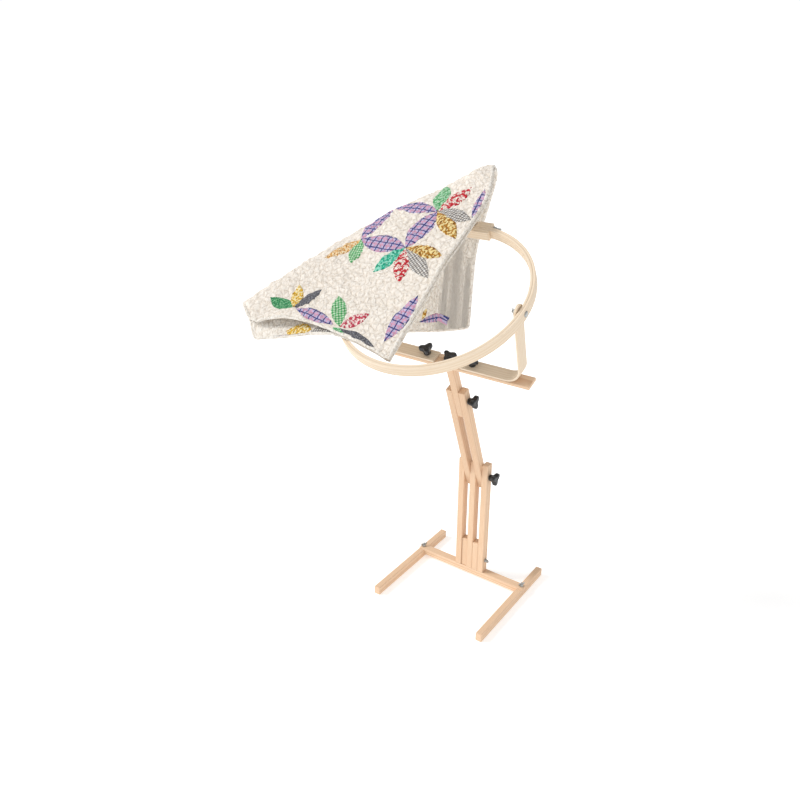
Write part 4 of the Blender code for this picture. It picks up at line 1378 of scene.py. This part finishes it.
    def sheet(
        self, name: str, drape: Drape, middle: Array, low: Array, high: Array
    ) -> bpy.types.Object:
        """Makes a closed sheet between two heights over its middle surface.

        The heights close in over the last two grid steps, so the edge is round.
        """
        columns, rows = middle.shape[:2]
        i, j = np.arange(columns)[:, None], np.arange(rows)[None, :]
        inward = np.minimum(np.minimum(i, columns - 1 - i), np.minimum(j, rows - 1 - j))
        full = np.sqrt(1 - (1 - np.minimum((inward + 0.4) / 2.4, 1)) ** 2)
        centre = (low + high) / 2
        top = centre + (high - centre) * full
        bottom = centre + (low - centre) * full
        up = middle + drape.normal * top[..., None]
        down = middle + drape.normal * bottom[..., None]
        shell = Shell()
        shell.add(up, map_points=drape.flat)
        shell.add(down[::-1], map_points=drape.flat[::-1])
        border = self.border(columns, rows)
        rim = np.stack((up[border], down[border]), 1)
        rim_map = np.stack((drape.flat[border], drape.flat[border]), 1)
        shell.add(rim, map_points=rim_map)
        return shell.build(name, "cloth", self.crease)

    @staticmethod
    def border(columns: int, rows: int) -> tuple[Array, Array]:
        """Returns the grid's border as column and row numbers, closed on its start."""
        i = np.concatenate((
            np.arange(columns - 1), np.full(rows - 1, columns - 1),
            np.arange(columns - 1, 0, -1), np.zeros(rows - 1, int), (0,),
        )).astype(int)
        j = np.concatenate((
            np.zeros(columns - 1, int), np.arange(rows - 1),
            np.full(columns - 1, rows - 1), np.arange(rows - 1, 0, -1), (0,),
        )).astype(int)
        return i, j

    def binding(self, name: str, drape: Drape, middle: Array, centre: Array) -> bpy.types.Object:
        """Makes the binding, a soft tube of folded cloth sewn round a layer's edge.

        Its outline is an ellipse, 9 mm across the edge and a little thicker than the layer.
        """
        i, j = self.border(*middle.shape[:2])
        i, j = i[:-1:2], j[:-1:2]
        path = (middle + drape.normal * centre[..., None])[i, j]
        normal = drape.normal[i, j]
        ahead = np.roll(path, -1, 0) - np.roll(path, 1, 0)
        ahead /= np.linalg.norm(ahead, axis=1)[:, None]
        outward = np.cross(ahead, normal)
        outward /= np.linalg.norm(outward, axis=1)[:, None]
        half_height = self.layer / 2 + self.binding_proud
        angle = np.linspace(0, 2 * pi, 15)
        wave = 1 + 0.10 * cloud(np.arange(len(path))[:, None] / 3.0, angle[None] * 0 + 2, 12)
        ring = (
            path[:, None]
            + outward[:, None] * (self.binding_half_width * np.cos(angle)[None] * wave)[..., None]
            + normal[:, None] * (half_height * np.sin(angle)[None] * wave)[..., None]
        )
        run = np.cumsum(np.linalg.norm(np.diff(path, axis=0), axis=1))
        along = np.concatenate(([0.0], run, (0.0,)))
        along[-1] = along[-2] + 0.004
        map_points = np.stack(np.broadcast_arrays(along[:, None], 0.0035 * angle[None]), -1)
        return Shell().add(ring, closed=True, map_points=map_points).build(name, "cloth", self.crease)

    def sew(self, patch: Patch, drape: Drape, middle: Array, top: Array) -> bpy.types.Object:
        """Makes one patch as a thin turned-under leaf that follows the quilt's relief.

        Its height over the top is 1.1 mm times (1 - s^4), so its edges are sewn down.

        Args:
            patch: The patch.
            drape: The drape.
            middle: The middle surface of the layer that it is sewn to.
            top: The height of that layer's face over its middle, below 0 for its under side.

        Returns:
            The piece.
        """
        flat, own = patch.outline()
        place = drape.find(flat)
        base = drape.sample(middle, place)
        normal = drape.sample(drape.normal, place)
        height = drape.sample(top[..., None], place)[..., 0]
        s = np.linspace(-1, 1, patch.widths)[None, :]
        side = 1.0 if top.mean() > 0 or patch.inside else -1.0
        rise = side * (self.patch_height * (1 - s**4) + self.patch_edge)
        over = base + normal * (height + rise)[..., None]
        under = base + normal * (height - side * self.patch_sunk)[..., None]
        shell = Shell().add(over, map_points=own).add(under[::-1], map_points=own[::-1])
        border = self.border(*over.shape[:2])
        rim = np.stack((over[border], under[border]), 1)
        shell.add(rim, map_points=np.stack((own[border], own[border]), 1))
        return shell.build(patch.name, "cloth", self.crease, merge=2e-5)

    def build(self) -> None:
        drape = Drape(self.columns, self.rows)
        relief = self.relief(drape.flat)
        upper = self.middle(drape, True)
        inner = self.outside - self.layer
        top = self.outside + relief
        flat_cover = np.full(top.shape, inner)
        cover = self.sheet("quilt_upper_layer", drape, upper, flat_cover, top)
        settle(cover, WHITE_COTTON.build(), "quilt", "quilt_cotton", "quilt")
        lower = self.middle(drape, False)
        lining = self.sheet(
            "quilt_under_layer", drape, lower, -self.outside - 0.4 * relief, -flat_cover
        )
        settle(lining, BACKING_COTTON.build(), "quilt", "quilt_cotton")
        bound = BINDING_COTTON.build()
        middle_height = np.full(top.shape, (self.outside + inner) / 2)
        edges = [
            self.binding("quilt_upper_binding", drape, upper, middle_height),
            self.binding("quilt_under_binding", drape, lower, -middle_height),
        ]
        for edge in edges:
            settle(edge, bound, "quilt", "quilt_cotton")
        prints = {cloth: cloth.value.build() for cloth in Print}
        for patch in (*self.patches, *self.behind_patches(drape)):
            piece = self.sew(patch, drape, upper, top)
            settle(piece, prints[patch.cloth], "quilt", "quilt_cotton")
        for patch in (*self.lip_patches, *self.lining_patches):
            face = -flat_cover if patch.inside else -self.outside - 0.4 * relief
            piece = self.sew(patch, drape, lower, face)
            settle(piece, prints[patch.cloth], "quilt", "quilt_cotton")


# ---------------------------------------------------------------- room


@dataclass
class Studio:
    """A pale floor, soft studio light and the camera."""

    eye: tuple[float, float, float] = (1.1146, -1.6153, 1.5331)
    ahead: tuple[float, float, float] = (-0.5279, 0.7379, -0.4205)
    lens: float = 35.54
    floor_size: float = 30.0
    floor_glow: float = 0.35
    surround: float = 0.63
    backdrop: float = 1.03

    def floor(self) -> None:
        """Lays a pale floor just under the feet, faintly lit from below to soften shadows."""
        half = self.floor_size / 2
        side = np.linspace(-half, half, 3)
        x, y = np.meshgrid(side, side, indexing="ij")
        grid = np.stack((x, y, np.full_like(x, -0.0002)), -1)
        floor = Shell().add(grid).build("studio_floor", recalculate=False)
        if floor.data.polygons[0].normal.z < 0:
            floor.data.flip_normals()
        material, tree, shader = Finish("matt_white_floor", 0.9, specular=0.1).shader()
        shader.inputs["Base Color"].default_value = linear("#F7F7F7")
        shader.inputs["Emission Color"].default_value = (1.0, 1.0, 1.0, 1.0)
        shader.inputs["Emission Strength"].default_value = self.floor_glow
        floor.data.materials.append(material)

    def lights(self) -> None:
        """Sets an even surround that the camera sees as white, a broad soft key and a weak fill."""
        world = bpy.data.worlds.new("studio_surround")
        world.use_nodes = True
        background = world.node_tree.nodes["Background"]
        background.inputs["Color"].default_value = (1.0, 1.0, 1.0, 1.0)
        seen = add_node(world.node_tree, "ShaderNodeLightPath").outputs["Is Camera Ray"]
        brighter = self.backdrop - self.surround
        strength = maths(world.node_tree, "MULTIPLY_ADD", seen, brighter, self.surround)
        world.node_tree.links.new(strength, background.inputs["Strength"])
        bpy.context.scene.world = world
        for name, place, angle, power in (
            ("key", (-2.4, -1.4, 3.0), 0.35, 2.1),
            ("fill", (2.6, -1.6, 1.8), 0.9, 0.35),
        ):
            lamp = bpy.data.lights.new(f"{name}_light", "SUN")
            lamp.angle = angle
            lamp.energy = power
            obj = bpy.data.objects.new(f"{name}_light", lamp)
            bpy.context.scene.collection.objects.link(obj)
            obj.location = place
            aim = Vector((0.0, 0.0, 0.75)) - Vector(place)
            obj.rotation_euler = aim.to_track_quat("-Z", "Y").to_euler()

    def camera(self) -> None:
        """Sets the camera."""
        data = bpy.data.cameras.new("camera")
        data.lens = self.lens
        data.sensor_width = 36.0
        data.clip_end = 100.0
        obj = bpy.data.objects.new("camera", data)
        bpy.context.scene.collection.objects.link(obj)
        obj.location = self.eye
        obj.rotation_euler = Vector(self.ahead).to_track_quat("-Z", "Y").to_euler()
        bpy.context.scene.camera = obj
        bpy.context.scene.view_settings.view_transform = "Standard"

    def build(self) -> None:
        """Builds the room."""
        self.floor()
        self.lights()
        self.camera()


def main() -> None:
    """Builds every assembly in order."""
    logging.basicConfig(level=logging.INFO, format="%(message)s")
    Studio().build()
    StickFrame().dress()
    Hoops().build()
    Brackets().build()
    Hardware().build()
    Quilt().build()


if __name__ == "__main__":
    main()
